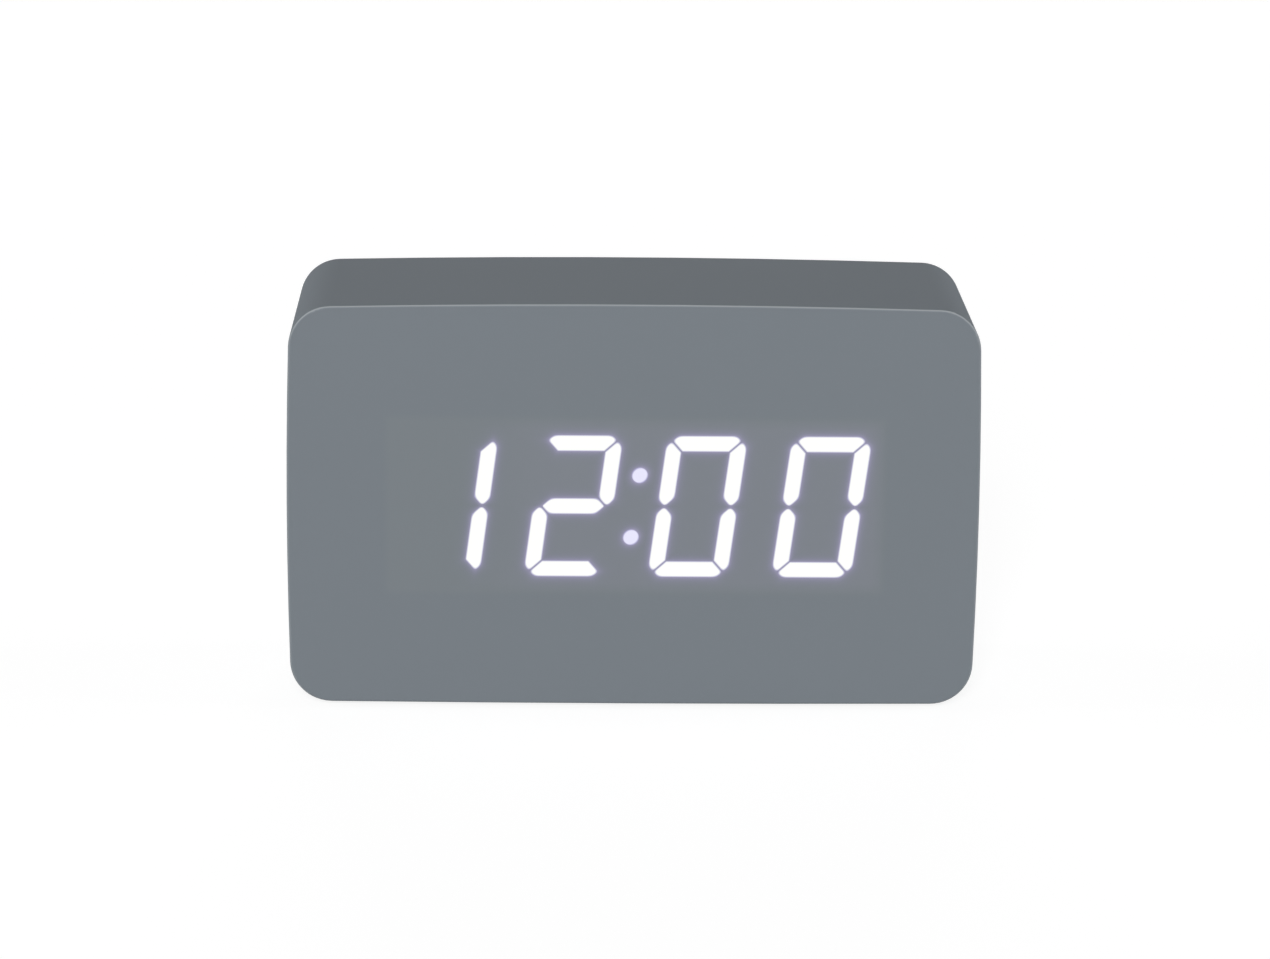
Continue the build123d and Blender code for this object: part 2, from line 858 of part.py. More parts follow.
def switch_slider():
    """The grip that shows in the slot, with the plate that keeps it in."""
    x = switch_rest_x()
    plate_y = cover_inner_y - switch_flange_gap
    outer_y = cover_outer_y + switch_grip_proud
    slider = block(x, switch_z, switch_grip_length, switch_grip_width, plate_y, outer_y)
    front_y_of_plate = plate_y - switch_flange_depth
    slider += block(x, switch_z, switch_flange_length, switch_flange_width, front_y_of_plate, plate_y)
    groove_y = outer_y - switch_grip_rib_depth
    beyond_y = outer_y + cut_overrun
    for n in (-1, 0, 1):
        groove_x = x + n * 2 * switch_grip_rib
        slider -= block(groove_x, switch_z, switch_grip_rib, switch_grip_width, groove_y, beyond_y)
    return slider


def stadium(width, height):
    return SlotOverall(width, height)


def socket_shell_piece():
    """Metal shell of the power socket, closed at the board."""
    mouth_y = cover_outer_y - socket_sink
    place = Pos(board_x, socket_z)
    shell = slab(place * stadium(socket_width, socket_height), board_rear_y, mouth_y)
    inner = stadium(socket_width - 2 * socket_shell, socket_height - 2 * socket_shell)
    return shell - slab(place * inner, board_rear_y + socket_floor, mouth_y + cut_overrun)


def socket_tongue():
    floor_y = board_rear_y + socket_floor
    tip_y = cover_outer_y - socket_sink - tongue_set_back
    return block(board_x, socket_z, tongue_width, tongue_thickness, floor_y, tip_y)


def rear_cover():
    """One moulding: the back panel, the battery tray and the bosses for the main board."""
    cover = slab(case_outline(wall + cover_gap), cover_inner_y, cover_outer_y)
    cover += tray_solid()
    cover += [rod(x, z, board_boss_radius, board_rear_y, cover_inner_y) for x, z in board_boss_places()]
    cover -= tray_hollow()
    cover += tray_cradles()
    cover -= door_cuts()
    cover -= slab_cuts()
    return cover


def tray_solid():
    tray = block(
        tray_x, tray_z, tray_length + 2 * tray_wall, tray_height + 2 * tray_wall,
        tray_floor_y - tray_wall, cover_inner_y,
    )
    seat = 2 * (door_gap + door_seat_width)
    return tray + block(
        tray_x, tray_z, door_length + seat, door_height + seat,
        door_inner_y - door_seat_gap - door_seat_depth, cover_inner_y,
    )


def tray_hollow():
    return block(tray_x, tray_z, tray_length, tray_height, tray_floor_y, cover_outer_y + cut_overrun)


def tray_cradles():
    """Two low walls across the tray, cut to the round of the cells."""
    top_y = tray_floor_y + cradle_depth
    cradles = []
    for x in (tray_x - cradle_spread, tray_x + cradle_spread):
        cradle = block(x, tray_z, cradle_thickness, tray_height, tray_floor_y, top_y)
        for z in cell_heights():
            seat = Cylinder(cell_radius + cell_seat_gap, cradle_thickness + 2 * cut_overrun)
            cradle -= Pos(x, cell_y, z) * Rot(0, 90, 0) * seat
        cradles += cradle.solids()
    return cradles


def cell_heights():
    middle = (cell_count - 1) / 2
    return [tray_z + (middle - n) * cell_pitch for n in range(cell_count)]


def door_outline(grow=0):
    outline = Rectangle(door_length + 2 * grow, door_height + 2 * grow)
    return Pos(tray_x, tray_z) * fillet(outline.vertices(), door_corner + grow)


def door_cuts():
    """The opening that the door lies in, its hooks' notches, the finger recess and the tab slots."""
    beyond_y = cover_outer_y + cut_overrun
    cuts = [slab(door_outline(door_gap), door_inner_y - door_seat_gap, beyond_y)]
    reach = hook_outer_radius + hook_notch_gap
    notch_inner_y = cover_outer_y - reach
    for x in (tray_x - hook_spread, tray_x + hook_spread):
        width = hook_width + 2 * hook_notch_gap
        cuts.append(block(x, door_bottom_z + reach / 2, width, reach, notch_inner_y, beyond_y))
        cuts.append(block(x, door_bottom_z - reach / 2, width, reach, notch_inner_y, cover_inner_y))
    door_top_z = door_bottom_z + door_height + door_gap
    finger = Rectangle(finger_width, 2 * finger_height)
    finger = Pos(tray_x, door_top_z) * fillet(finger.vertices(), finger_corner)
    cuts.append(slab(finger, cover_outer_y - finger_depth, beyond_y))
    for side, z in ((1, cell_heights()[0]), (-1, cell_heights()[-1])):
        slot_x = tray_x + side * (tray_length + tray_wall) / 2
        slot_width = tray_wall + 2 * cut_overrun
        slot_height = contact_thickness + 2 * contact_slot_gap
        slot_y = contact_tab_width / 2 + contact_slot_gap
        cuts.append(block(slot_x, z, slot_width, slot_height, cell_y - slot_y, cell_y + slot_y))
    return cuts


def slab_cuts():
    """Everything else that is cut through or into the panel."""
    inner_y = cover_inner_y - cut_overrun
    outer_y = cover_outer_y + cut_overrun
    cuts = []
    for x, z in post_places:
        cuts.append(rod(x, z, screw_shank_radius + screw_hole_gap, inner_y, outer_y))
        cuts.append(rod(x, z, screw_head_radius + screw_head_gap, cover_outer_y - screw_sink_depth, outer_y))
    for x in key_places.values():
        cuts.append(rod(x, key_z, key_radius + key_hole_gap, inner_y, outer_y))
    for x, z in board_boss_places():
        pilot = small_shank_radius + screw_fit
        cuts.append(rod(x, z, pilot, board_rear_y - cut_overrun, cover_inner_y))
    slot_length = switch_grip_length + switch_travel + 2 * switch_slot_gap
    slot_width = switch_grip_width + 2 * switch_slot_gap
    cuts.append(block(switch_x, switch_z, slot_length, slot_width, inner_y, outer_y))
    socket = stadium(socket_width + 2 * socket_gap, socket_height + 2 * socket_gap)
    cuts.append(slab(Pos(board_x, socket_z) * socket, inner_y, outer_y))
    cuts += [slab(slot, inner_y, outer_y) for slot in sound_slots()]
    label = Rectangle(label_width, label_height)
    label_z = tray_z + door_height / 2 + finger_height + label_above_door + label_height / 2
    label = Pos(tray_x, label_z) * fillet(label.vertices(), label_corner)
    cuts.append(slab(label, cover_outer_y - label_depth, outer_y))
    cuts += [slab(mark, cover_outer_y - switch_mark_depth, outer_y) for mark in switch_marks()]
    return cuts


def sound_slots():
    """Level slots that fill a circle over the sounder."""
    middle = (sound_slot_count - 1) / 2
    slots = []
    for n in range(sound_slot_count):
        rise = (n - middle) * sound_slot_pitch
        length = 2 * math.sqrt(sounder_radius**2 - rise**2)
        slots.append(Pos(sounder_x, sounder_z + rise) * SlotOverall(length, sound_slot_width))
    return slots


def switch_marks():
    """A ring at the slider's off end and a bar at its on end."""
    radius = switch_mark_size / 2
    ring = Circle(radius) - Circle(radius - switch_mark_line)
    bar = Rectangle(switch_mark_line, switch_mark_size)
    return [
        Pos(switch_x - switch_mark_offset, switch_z) * ring,
        Pos(switch_x + switch_mark_offset, switch_z) * bar,
    ]


def rear_cover_screws():
    cross = (cross_length, cross_width, cross_depth)
    screw = pan_screw(
        screw_shank_radius, screw_length, screw_head_radius, screw_head_height, screw_head_round, cross
    )
    return [place_screw(screw, x, cover_outer_y - screw_sink_depth, z, True) for x, z in post_places]


def battery_door():
    """The door plate with its spring latch at the top and two hooks at the bottom."""
    door = slab(door_outline(), door_inner_y, cover_outer_y)
    top_z = tray_z + door_height / 2
    root_z = top_z - latch_length
    for side in (-1, 1):
        slit_x = tray_x + side * (latch_width + latch_slit) / 2
        slit_z = root_z + latch_length / 2
        door -= block(
            slit_x, slit_z, latch_slit, latch_length + cut_overrun,
            door_inner_y - cut_overrun, cover_outer_y + cut_overrun,
        )
    nose_y = door_inner_y + door_thickness / 2
    door += block(tray_x, top_z, latch_width, 2 * latch_nose, door_inner_y, nose_y)
    rib_outer_y = cover_outer_y + latch_rib_height
    for n in range(latch_rib_count):
        rib_z = top_z - latch_rib_pitch * (n + 1)
        door += block(tray_x, rib_z, latch_rib_length, latch_rib, cover_outer_y, rib_outer_y)
    for x in (tray_x - door_rib_spread, tray_x + door_rib_spread):
        door += block(x, tray_z, door_rib, door_rib_length, door_inner_y - door_rib_depth, door_inner_y)
    for x in (tray_x - hook_spread, tray_x + hook_spread):
        door += door_hook(x)
    return door


def door_hook(x):
    """A hook that curls about the door's lower outer edge and reaches behind the panel."""
    down = math.radians(hook_down_angle)
    up = math.radians(hook_up_angle)

    def at(radius, angle):
        """A point of the hook's profile: depth and height, about the door's lower outer edge."""
        return -radius * math.cos(angle), -radius * math.sin(angle)

    web_y = -door_thickness
    web_z = -web_y * math.tan(up)
    profile = make_face(
        [
            ThreePointArc(at(hook_outer_radius, down), at(hook_outer_radius, 0), at(hook_outer_radius, -up)),
            Line(at(hook_outer_radius, -up), (web_y, at(hook_outer_radius, -up)[1])),
            Line((web_y, at(hook_outer_radius, -up)[1]), (web_y, web_z)),
            Line((web_y, web_z), at(hook_inner_radius, -up)),
            ThreePointArc(at(hook_inner_radius, -up), at(hook_inner_radius, 0), at(hook_inner_radius, down)),
            Line(at(hook_inner_radius, down), at(hook_outer_radius, down)),
        ]
    )
    side_on = Plane(
        origin=(x - hook_width / 2, cover_outer_y, door_bottom_z), x_dir=(0, 1, 0), z_dir=(1, 0, 0)
    )
    return extrude(side_on * profile, hook_width)


def cell(n):
    """One cell with its positive tip against its contact; every second one is turned round."""
    body_length = cell_length - cell_tip_length
    body = Cylinder(cell_radius, body_length, align=(Align.CENTER, Align.CENTER, Align.MAX))
    body = fillet(body.edges().filter_by(GeomType.CIRCLE), cell_edge_round)
    tip = Cylinder(cell_tip_radius, cell_tip_length, align=(Align.CENTER, Align.CENTER, Align.MIN))
    turn = cell_side(n)
    x = tray_x + turn * (cell_pushed_x - cell_tip_length)
    return Pos(x, cell_y, cell_heights()[n]) * Rot(0, 90 * turn, 0) * (body + tip)


def cell_side(n):
    """Which way a cell's positive tip points: 1 is to the right, -1 to the left."""
    return 1 if n % 2 == 0 else -1


def contact_plates():
    """Two single contacts with a tab for a lead, and two that join neighbouring cells."""
    heights = cell_heights()
    plates = [contact_plate(1, heights[:1], True), contact_plate(-1, heights[:2], False)]
    plates += [contact_plate(1, heights[1:], False), contact_plate(-1, heights[2:], True)]
    return plates


def contact_plate(side, heights, has_tab):
    """A flat plate that stands at one end of the tray behind one or two cells."""
    outer_x = tray_length / 2 - contact_wall_gap
    x = tray_x + side * (outer_x - contact_thickness / 2)
    middle = sum(heights) / len(heights)
    span = max(heights) - min(heights) + contact_height
    half_width = contact_width / 2
    plate = block(x, middle, contact_thickness, span, cell_y - half_width, cell_y + half_width)
    plate = fillet(plate.edges().filter_by(Axis.X), contact_corner)
    if has_tab:
        tab_length = contact_wall_gap + tray_wall + contact_tab_length
        tab_x = tray_x + side * (outer_x + tab_length / 2)
        half_tab = contact_tab_width / 2
        plate += block(tab_x, middle, tab_length, contact_thickness, cell_y - half_tab, cell_y + half_tab)
    return plate


def contact_springs():
    """A cone of wire at each cell's flat end."""
    return [contact_spring(n) for n in range(cell_count)]


def contact_spring(n):
    """A coil that narrows from its plate to the flat end of the cell."""
    path = coil_path(spring_room - 2 * (spring_wire_radius + spring_end_gap))
    coil = sweep(Plane(origin=path @ 0, z_dir=path % 0) * Circle(spring_wire_radius), path=path)
    turn = cell_side(n)
    x = tray_x - turn * (cell_pushed_x - spring_wire_radius - spring_end_gap)
    return Pos(x, cell_y, cell_heights()[n]) * Rot(0, 90 * turn, 0) * coil


def coil_path(height):
    """The middle of the spring's wire: a narrowing coil of short arcs that run on smoothly."""
    count = spring_turns * spring_arcs
    points = []
    for n in range(count + 1):
        radius = spring_base_radius + (spring_tip_radius - spring_base_radius) * n / count
        angle = 2 * math.pi * n / spring_arcs
        points.append(Vector(radius * math.cos(angle), radius * math.sin(angle), height * n / count))
    climb = (points[1] - points[0]).normalized().Z * math.cos(math.pi / spring_arcs)
    direction = Vector(0, 1, climb)
    arcs = []
    for start, end in zip(points, points[1:]):
        arcs.append(TangentArc(start, end, tangent=direction))
        direction = arcs[-1] % 1
    return Wire(arcs)


def wire(points, radius, bend_radius):
    """A round lead along straight runs with rounded corners."""
    path = FilletPolyline(*points, radius=bend_radius)
    return sweep(Plane(origin=path @ 0, z_dir=path % 0) * Circle(radius), path=path)


def lead_header():
    outline = Rectangle(lead_header_width, lead_header_height)
    outline = Pos(lead_header_x, lead_header_z) * fillet(outline.vertices(), header_corner)
    return slab(outline, board_front_y - lead_header_depth, board_front_y)


def red_lead():
    tab_x = tray_x + tray_length / 2 + tray_wall + contact_tab_length
    z = cell_heights()[0]
    run_x = tab_x + lead_clear
    run_y = board_front_y - lead_front_gap
    end_z = lead_header_z + lead_spread
    return wire(
        [
            (tab_x, cell_y, z),
            (run_x, cell_y, z),
            (run_x, run_y, z),
            (run_x, run_y, end_z),
            (lead_header_x - lead_header_width / 2, run_y, end_z),
        ],
        lead_radius,
        lead_bend_radius,
    )


def black_lead():
    """From the left contact round the tray's end, across in front of its floor, and to the header."""
    tab_x = tray_x - tray_length / 2 - tray_wall - contact_tab_length
    z = cell_heights()[-1]
    run_x = tab_x - lead_clear
    across_y = tray_floor_y - tray_wall - lead_front_of_tray
    run_y = board_front_y - lead_front_gap
    end_x = lead_header_x - lead_header_width / 2
    end_z = lead_header_z - lead_spread
    return wire(
        [
            (tab_x, cell_y, z),
            (run_x, cell_y, z),
            (run_x, across_y, z),
            (board_left_x - lead_clear, across_y, z),
            (end_x - lead_clear, run_y, end_z),
            (end_x, run_y, end_z),
        ],
        lead_radius,
        lead_bend_radius,
    )


def touch_plate_top_z():
    """The plate lies this close under the bowed top wall."""
    reach = abs(touch_x) + touch_length / 2
    bow_at_end = top_bow * (reach / (overall_width / 2)) ** 2
    return overall_height - wall - bow_at_end - touch_gap


def touch_plate():
    top_z = touch_plate_top_z()
    return Pos(touch_x, touch_y, top_z) * Box(
        touch_length, touch_width, touch_thickness, align=(Align.CENTER, Align.CENTER, Align.MAX)
    )


def touch_lead():
    x = touch_x + touch_length / 2 - touch_lead_x
    top_z = touch_plate_top_z() - touch_thickness
    land_x = board_x + touch_lead_from_board_x
    land_z = middle_z + board_height / 2 - touch_lead_land
    return wire(
        [
            (x, touch_y, top_z),
            (x, touch_y, top_z - touch_lead_drop),
            (land_x, board_front_y - touch_lead_drop, land_z),
            (land_x, board_front_y, land_z),
        ],
        touch_lead_radius,
        touch_lead_bend,
    )


def light_nodes():
    """The light guides, lit and dark ones apart, for each digit."""
    nodes = {}
    for name, strokes in digit_outlines().items():
        lit = [outline for letter, outline in strokes.items() if letter in lit_strokes[name]]
        dark = [outline for letter, outline in strokes.items() if letter not in lit_strokes[name]]
        nodes[name + "_lit_strokes"] = [light_guide(outline) for outline in lit]
        nodes[name + "_dark_strokes"] = [light_guide(outline) for outline in dark]
    nodes["colon_dots"] = [light_guide(outline) for outline in dot_outlines()]
    return nodes


def all_nodes():
    nodes = {
        "front_housing": front_housing(),
        "rear_cover": rear_cover(),
        "rear_cover_screws": rear_cover_screws(),
        "rubber_feet": rubber_feet(),
        "reflector_block": reflector_block(),
        "display_gasket": display_gasket(),
        "led_chips": led_chips(),
        "display_board": display_board(),
        "display_board_screws": display_board_screws(),
        "display_driver_chip": driver_chip(),
        "display_header": display_header(),
        "ribbon_cable": ribbon_cable(),
        "main_board_header": main_board_header(),
        "main_board": main_board(),
        "main_board_screws": main_board_screws(),
        "controller_chip": controller_chip(),
        "smoothing_capacitor": smoothing_capacitor(),
        "quartz_crystal": quartz_crystal(),
        "board_resistors": board_resistors(),
        "piezo_sounder": piezo_sounder(),
        "key_switch_bases": tact_bases(),
        "slide_switch_base": switch_base(),
        "slide_switch_lever": switch_lever(),
        "slide_switch_grip": switch_slider(),
        "power_socket_shell": socket_shell_piece(),
        "power_socket_tongue": socket_tongue(),
        "battery_door": battery_door(),
        "battery_contact_plates": contact_plates(),
        "battery_contact_springs": contact_springs(),
        "battery_lead_header": lead_header(),
        "battery_lead_red": red_lead(),
        "battery_lead_black": black_lead(),
        "touch_plate": touch_plate(),
        "touch_lead": touch_lead(),
    }
    nodes.update(light_nodes())
    for name, x in key_places.items():
        nodes[name + "_key"] = key_cap(name, x)
        nodes[name + "_key_plunger"] = key_plunger(x)
    for n, name in enumerate(cell_names):
        nodes["battery_" + name] = cell(n)
    return nodes


def save(name, shape):
    """Writes one node; a list of solids stays separate solids in it."""
    solids = [s for piece in shape for s in piece.solids()] if isinstance(shape, list) else shape.solids()
    export_step(Compound(solids), os.path.join("parts", name + ".step"))


def main():
    os.makedirs("parts", exist_ok=True)
    for name, shape in all_nodes().items():
        save(name, shape)


main()
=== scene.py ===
import json
import math

import bpy
from mathutils import Matrix, Vector

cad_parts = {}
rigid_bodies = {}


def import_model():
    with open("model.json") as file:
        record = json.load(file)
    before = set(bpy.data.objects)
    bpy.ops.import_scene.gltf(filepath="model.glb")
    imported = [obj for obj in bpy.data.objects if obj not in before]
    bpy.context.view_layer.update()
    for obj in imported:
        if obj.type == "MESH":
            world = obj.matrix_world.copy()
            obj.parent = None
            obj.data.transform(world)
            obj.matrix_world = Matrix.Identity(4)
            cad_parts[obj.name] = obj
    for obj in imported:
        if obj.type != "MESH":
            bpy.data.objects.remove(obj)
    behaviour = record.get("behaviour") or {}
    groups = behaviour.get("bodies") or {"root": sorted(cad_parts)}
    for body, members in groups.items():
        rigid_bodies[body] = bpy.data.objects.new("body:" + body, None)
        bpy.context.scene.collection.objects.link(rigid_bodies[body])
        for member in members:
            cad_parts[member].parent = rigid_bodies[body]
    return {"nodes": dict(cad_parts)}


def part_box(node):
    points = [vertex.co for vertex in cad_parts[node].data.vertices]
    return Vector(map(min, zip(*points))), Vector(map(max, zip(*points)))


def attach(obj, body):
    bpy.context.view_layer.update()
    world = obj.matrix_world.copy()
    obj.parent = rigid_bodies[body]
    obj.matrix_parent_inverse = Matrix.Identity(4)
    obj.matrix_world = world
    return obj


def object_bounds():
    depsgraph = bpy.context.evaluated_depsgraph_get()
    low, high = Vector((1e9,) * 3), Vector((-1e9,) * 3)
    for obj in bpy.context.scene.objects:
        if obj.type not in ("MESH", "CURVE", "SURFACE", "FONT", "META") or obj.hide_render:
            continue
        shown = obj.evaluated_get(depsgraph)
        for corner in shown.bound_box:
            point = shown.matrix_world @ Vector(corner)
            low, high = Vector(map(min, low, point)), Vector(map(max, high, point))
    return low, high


mm = 0.001

for leftover in [o for o in bpy.data.objects if o.name in ("Cube", "Camera", "Light")]:
    bpy.data.objects.remove(leftover, do_unlink=True)

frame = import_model()
cadLow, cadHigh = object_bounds()
bpy.context.scene.view_settings.view_transform = "Standard"
print("frame loaded:", len(frame["nodes"]), "pieces")


# small helpers for shader and geometry trees

def newMaterial(name, roughness, metallic=0.0):
    material = bpy.data.materials.new(name)
    material.use_nodes = True
    shader = material.node_tree.nodes["Principled BSDF"]
    shader.inputs["Roughness"].default_value = roughness
    shader.inputs["Metallic"].default_value = metallic
    return material, material.node_tree, shader


def addNode(tree, kind, **settings):
    node = tree.nodes.new(kind)
    for key, value in settings.items():
        setattr(node, key, value)
    return node


def feed(tree, socket, value):
    # links a socket, or sets a plain number, vector or colour on it
    if isinstance(value, bpy.types.NodeSocket):
        tree.links.new(value, socket)
    else:
        socket.default_value = value


def calc(tree, operation, *values, clamp=False):
    node = addNode(tree, "ShaderNodeMath", operation=operation, use_clamp=clamp)
    for socket, value in zip(node.inputs, values):
        feed(tree, socket, value)
    return node.outputs[0]


def chain(tree, operation, values):
    # one operation over several values, such as their product or the largest of them
    result = values[0]
    for value in values[1:]:
        result = calc(tree, operation, result, value)
    return result


def vectorCalc(tree, operation, *values):
    node = addNode(tree, "ShaderNodeVectorMath", operation=operation)
    for socket, value in zip(node.inputs, values):
        feed(tree, socket, value)
    return node.outputs["Value" if operation == "LENGTH" else "Vector"]


def triple(tree, x=0.0, y=0.0, z=0.0):
    node = addNode(tree, "ShaderNodeCombineXYZ")
    for label, value in (("X", x), ("Y", y), ("Z", z)):
        feed(tree, node.inputs[label], value)
    return node.outputs[0]


def ramp(tree, value, start, end, shape="LINEAR"):
    # rises from 0 at the start to 1 at the end
    node = addNode(tree, "ShaderNodeMapRange", interpolation_type=shape)
    for label, item in (("Value", value), ("From Min", start), ("From Max", end)):
        feed(tree, node.inputs[label], item)
    return node.outputs[0]


def mixColour(tree, factor, first, second, blend="MIX"):
    node = addNode(tree, "ShaderNodeMix", data_type="RGBA", blend_type=blend)
    feed(tree, node.inputs["Factor"], factor)
    feed(tree, node.inputs[6], first)
    feed(tree, node.inputs[7], second)
    return node.outputs[2]


def objectCoordinates(tree):
    return addNode(tree, "ShaderNodeTexCoord").outputs["Object"]


def axisValues(tree, vector):
    split = addNode(tree, "ShaderNodeSeparateXYZ")
    feed(tree, split.inputs[0], vector)
    return split.outputs["X"], split.outputs["Y"], split.outputs["Z"]


def placeAxes(tree):
    return axisValues(tree, objectCoordinates(tree))


def rgb(red, green, blue):
    # a colour given on a 0 to 255 scale, in the linear values that shaders take
    def linear(value):
        share = value / 255
        return share / 12.92 if share <= 0.04045 else ((share + 0.055) / 1.055) ** 2.4
    return (linear(red), linear(green), linear(blue), 1.0)


def grey(level):
    return (level, level, level, 1.0)


# camera

cameraValues = {
    "focalPixels": 4677.4,
    "frameWidth": 1270,
    "sensorWidth": 36.0,
    "place": (-20.17, -1010.3, 286.99),
    "tiltDown": 13.473,
    "turnRight": 1.191,
    "roll": 0.609,
    "clip": (0.01, 50),  # metres
}


def makeCamera(values):
    data = bpy.data.cameras.new("photoCamera")
    data.sensor_width = values["sensorWidth"]
    data.lens = values["focalPixels"] / values["frameWidth"] * values["sensorWidth"]
    data.clip_start, data.clip_end = values["clip"]
    camera = bpy.data.objects.new("photoCamera", data)
    bpy.context.scene.collection.objects.link(camera)
    turn = Matrix.Rotation(-math.radians(values["turnRight"]), 4, "Z")
    tilt = Matrix.Rotation(math.radians(90 - values["tiltDown"]), 4, "X")
    roll = Matrix.Rotation(math.radians(values["roll"]), 4, "Z")
    camera.matrix_world = Matrix.Translation(Vector(values["place"]) * mm) @ turn @ tilt @ roll
    bpy.context.scene.camera = camera


makeCamera(cameraValues)


# studio: lamps, world, floor

studioValues = {
    "lampAim": (0, 0, 45),
    "lampSize": 1400,
    "skyLevel": 0.08,
    "floorColour": 0.8,
    "floorLight": 0.55,  # what the lamps give the open floor
    "floorShadowShare": 0.25,
    "floorSize": 30000,
    "floorGap": 0.02,  # keeps the floor clear of the feet's undersides
    "shadowEnd": (1500, 2500),  # mm from the middle: the floor takes no shade past here
}

lamps = {  # degrees round from straight in front, degrees above the horizon, distance in mm, level
    "keyLamp": (-4, 23.5, 6000, 0.725),
    "rearLamp": (180, 11, 3000, 0.42),
    "leftLamp": (-92, 9, 3000, 0.38),
    "rightLamp": (92, 9, 3000, 0.38),
}


def makeLamp(name, side, height, distance, level, values):
    # a square soft lamp that gives the aim point this level when it shines straight on
    data = bpy.data.lights.new(name, "AREA")
    data.shape = "SQUARE"
    data.size = values["lampSize"] * mm
    data.energy = level * math.pi ** 2 * (distance * mm) ** 2
    lamp = bpy.data.objects.new(name, data)
    bpy.context.scene.collection.objects.link(lamp)
    a, e = math.radians(side), math.radians(height)
    direction = Vector((math.sin(a) * math.cos(e), -math.cos(a) * math.cos(e), math.sin(e)))
    lamp.location = (Vector(values["lampAim"]) + direction * distance) * mm
    lamp.rotation_euler = direction.to_track_quat("Z", "Y").to_euler()


def seenDirectly(tree):
    # 1 for what the camera sees, also in metal and through glass, and 0 for what lights the object
    path = addNode(tree, "ShaderNodeLightPath")
    labels = ("Is Camera Ray", "Is Glossy Ray", "Is Transmission Ray")
    return chain(tree, "MAXIMUM", [path.outputs[label] for label in labels])


def makeWorld(values):
    # white to look at, and dim as a light
    world = bpy.data.worlds.new("studioWorld")
    world.use_nodes = True
    tree = world.node_tree
    tree.nodes.clear()
    output = addNode(tree, "ShaderNodeOutputWorld")
    background = addNode(tree, "ShaderNodeBackground")
    background.inputs["Color"].default_value = grey(1.0)
    strength = calc(tree, "MAXIMUM", seenDirectly(tree), values["skyLevel"])
    feed(tree, background.inputs["Strength"], strength)
    tree.links.new(background.outputs[0], output.inputs["Surface"])
    bpy.context.scene.world = world


def makeFloor(values):
    # a white floor that shows the object's shadow at a share of its real depth
    half = values["floorSize"] * mm / 2
    z = -values["floorGap"] * mm
    corners = [(-half, -half, z), (half, -half, z), (half, half, z), (-half, half, z)]
    mesh = bpy.data.meshes.new("floor")
    mesh.from_pydata(corners, [], [(0, 1, 2, 3)])
    floor = bpy.data.objects.new("floor", mesh)
    bpy.context.scene.collection.objects.link(floor)
    material, tree, shader = newMaterial("floorWhite", 1.0)
    shader.inputs["Specular IOR Level"].default_value = 0.0
    seen = seenDirectly(tree)
    share = values["floorShadowShare"]
    plain = mixColour(tree, seen, grey(values["floorColour"]), grey(share))
    feed(tree, shader.inputs["Base Color"], plain)
    away = vectorCalc(tree, "LENGTH", objectCoordinates(tree))
    far = ramp(tree, away, *[distance * mm for distance in values["shadowEnd"]], "SMOOTHSTEP")
    glow = mixColour(tree, far, grey(1.0 - share * values["floorLight"]), grey(1.0))
    feed(tree, shader.inputs["Emission Color"], mixColour(tree, seen, grey(0.0), glow))
    shader.inputs["Emission Strength"].default_value = 1.0
    behind = addNode(tree, "ShaderNodeNewGeometry").outputs["Backfacing"]
    feed(tree, shader.inputs["Alpha"], calc(tree, "SUBTRACT", 1.0, behind))  # open to a look from below
    mesh.materials.append(material)


makeWorld(studioValues)
makeFloor(studioValues)
for name, (side, height, distance, level) in lamps.items():
    makeLamp(name, side, height, distance, level, studioValues)
print("studio made")


# shader groups used by several materials

def newGroup(name, inputs, outputs):
    # a shader node group with named numbers in and out; returns it with its two end nodes
    group = bpy.data.node_groups.new(name, "ShaderNodeTree")
    for label, value in inputs.items():
        socket = group.interface.new_socket(label, in_out="INPUT", socket_type="NodeSocketFloat")
        socket.default_value = value
    for label in outputs:
        group.interface.new_socket(label, in_out="OUTPUT", socket_type="NodeSocketFloat")
    return group, addNode(group, "NodeGroupInput"), addNode(group, "NodeGroupOutput")


def placeGroup(tree, group, **values):
    node = addNode(tree, "ShaderNodeGroup", node_tree=group)
    for label, value in values.items():
        feed(tree, node.inputs[label], value)
    return node.outputs


def noise(tree, vector, size, detail, roughness=0.5):
    # noise whose features are about this many metres across
    node = addNode(tree, "ShaderNodeTexNoise")
    feed(tree, node.inputs["Vector"], vector)
    feed(tree, node.inputs["Scale"], calc(tree, "DIVIDE", 1.0, size))
    node.inputs["Detail"].default_value = detail
    node.inputs["Roughness"].default_value = roughness
    return node.outputs[0]


def shadeFrom(group, value, contrast):
    # turns noise round 0.5 into a shade round 1
    spread = calc(group, "MULTIPLY", calc(group, "SUBTRACT", value, 0.5), contrast)
    return calc(group, "ADD", spread, 1.0)


def makeGrainGroup():
    # moulded plastic: a fine grain, which is also the bump, over a slow drift of shade
    sizes = {"Grain Size": 0.0003, "Drift Size": 0.03, "Contrast": 0.04, "Fine Share": 0.6}
    group, start, end = newGroup("mouldedGrain", sizes, ["Shade", "Height"])
    place, fineShare = objectCoordinates(group), start.outputs["Fine Share"]
    fine = noise(group, place, start.outputs["Grain Size"], detail=3.0, roughness=0.6)
    drift = noise(group, place, start.outputs["Drift Size"], detail=1.0)
    driftShare = calc(group, "SUBTRACT", 1.0, fineShare)
    both = calc(
        group, "ADD", calc(group, "MULTIPLY", fine, fineShare), calc(group, "MULTIPLY", drift, driftShare)
    )
    feed(group, end.inputs["Shade"], shadeFrom(group, both, start.outputs["Contrast"]))
    feed(group, end.inputs["Height"], fine)
    return group


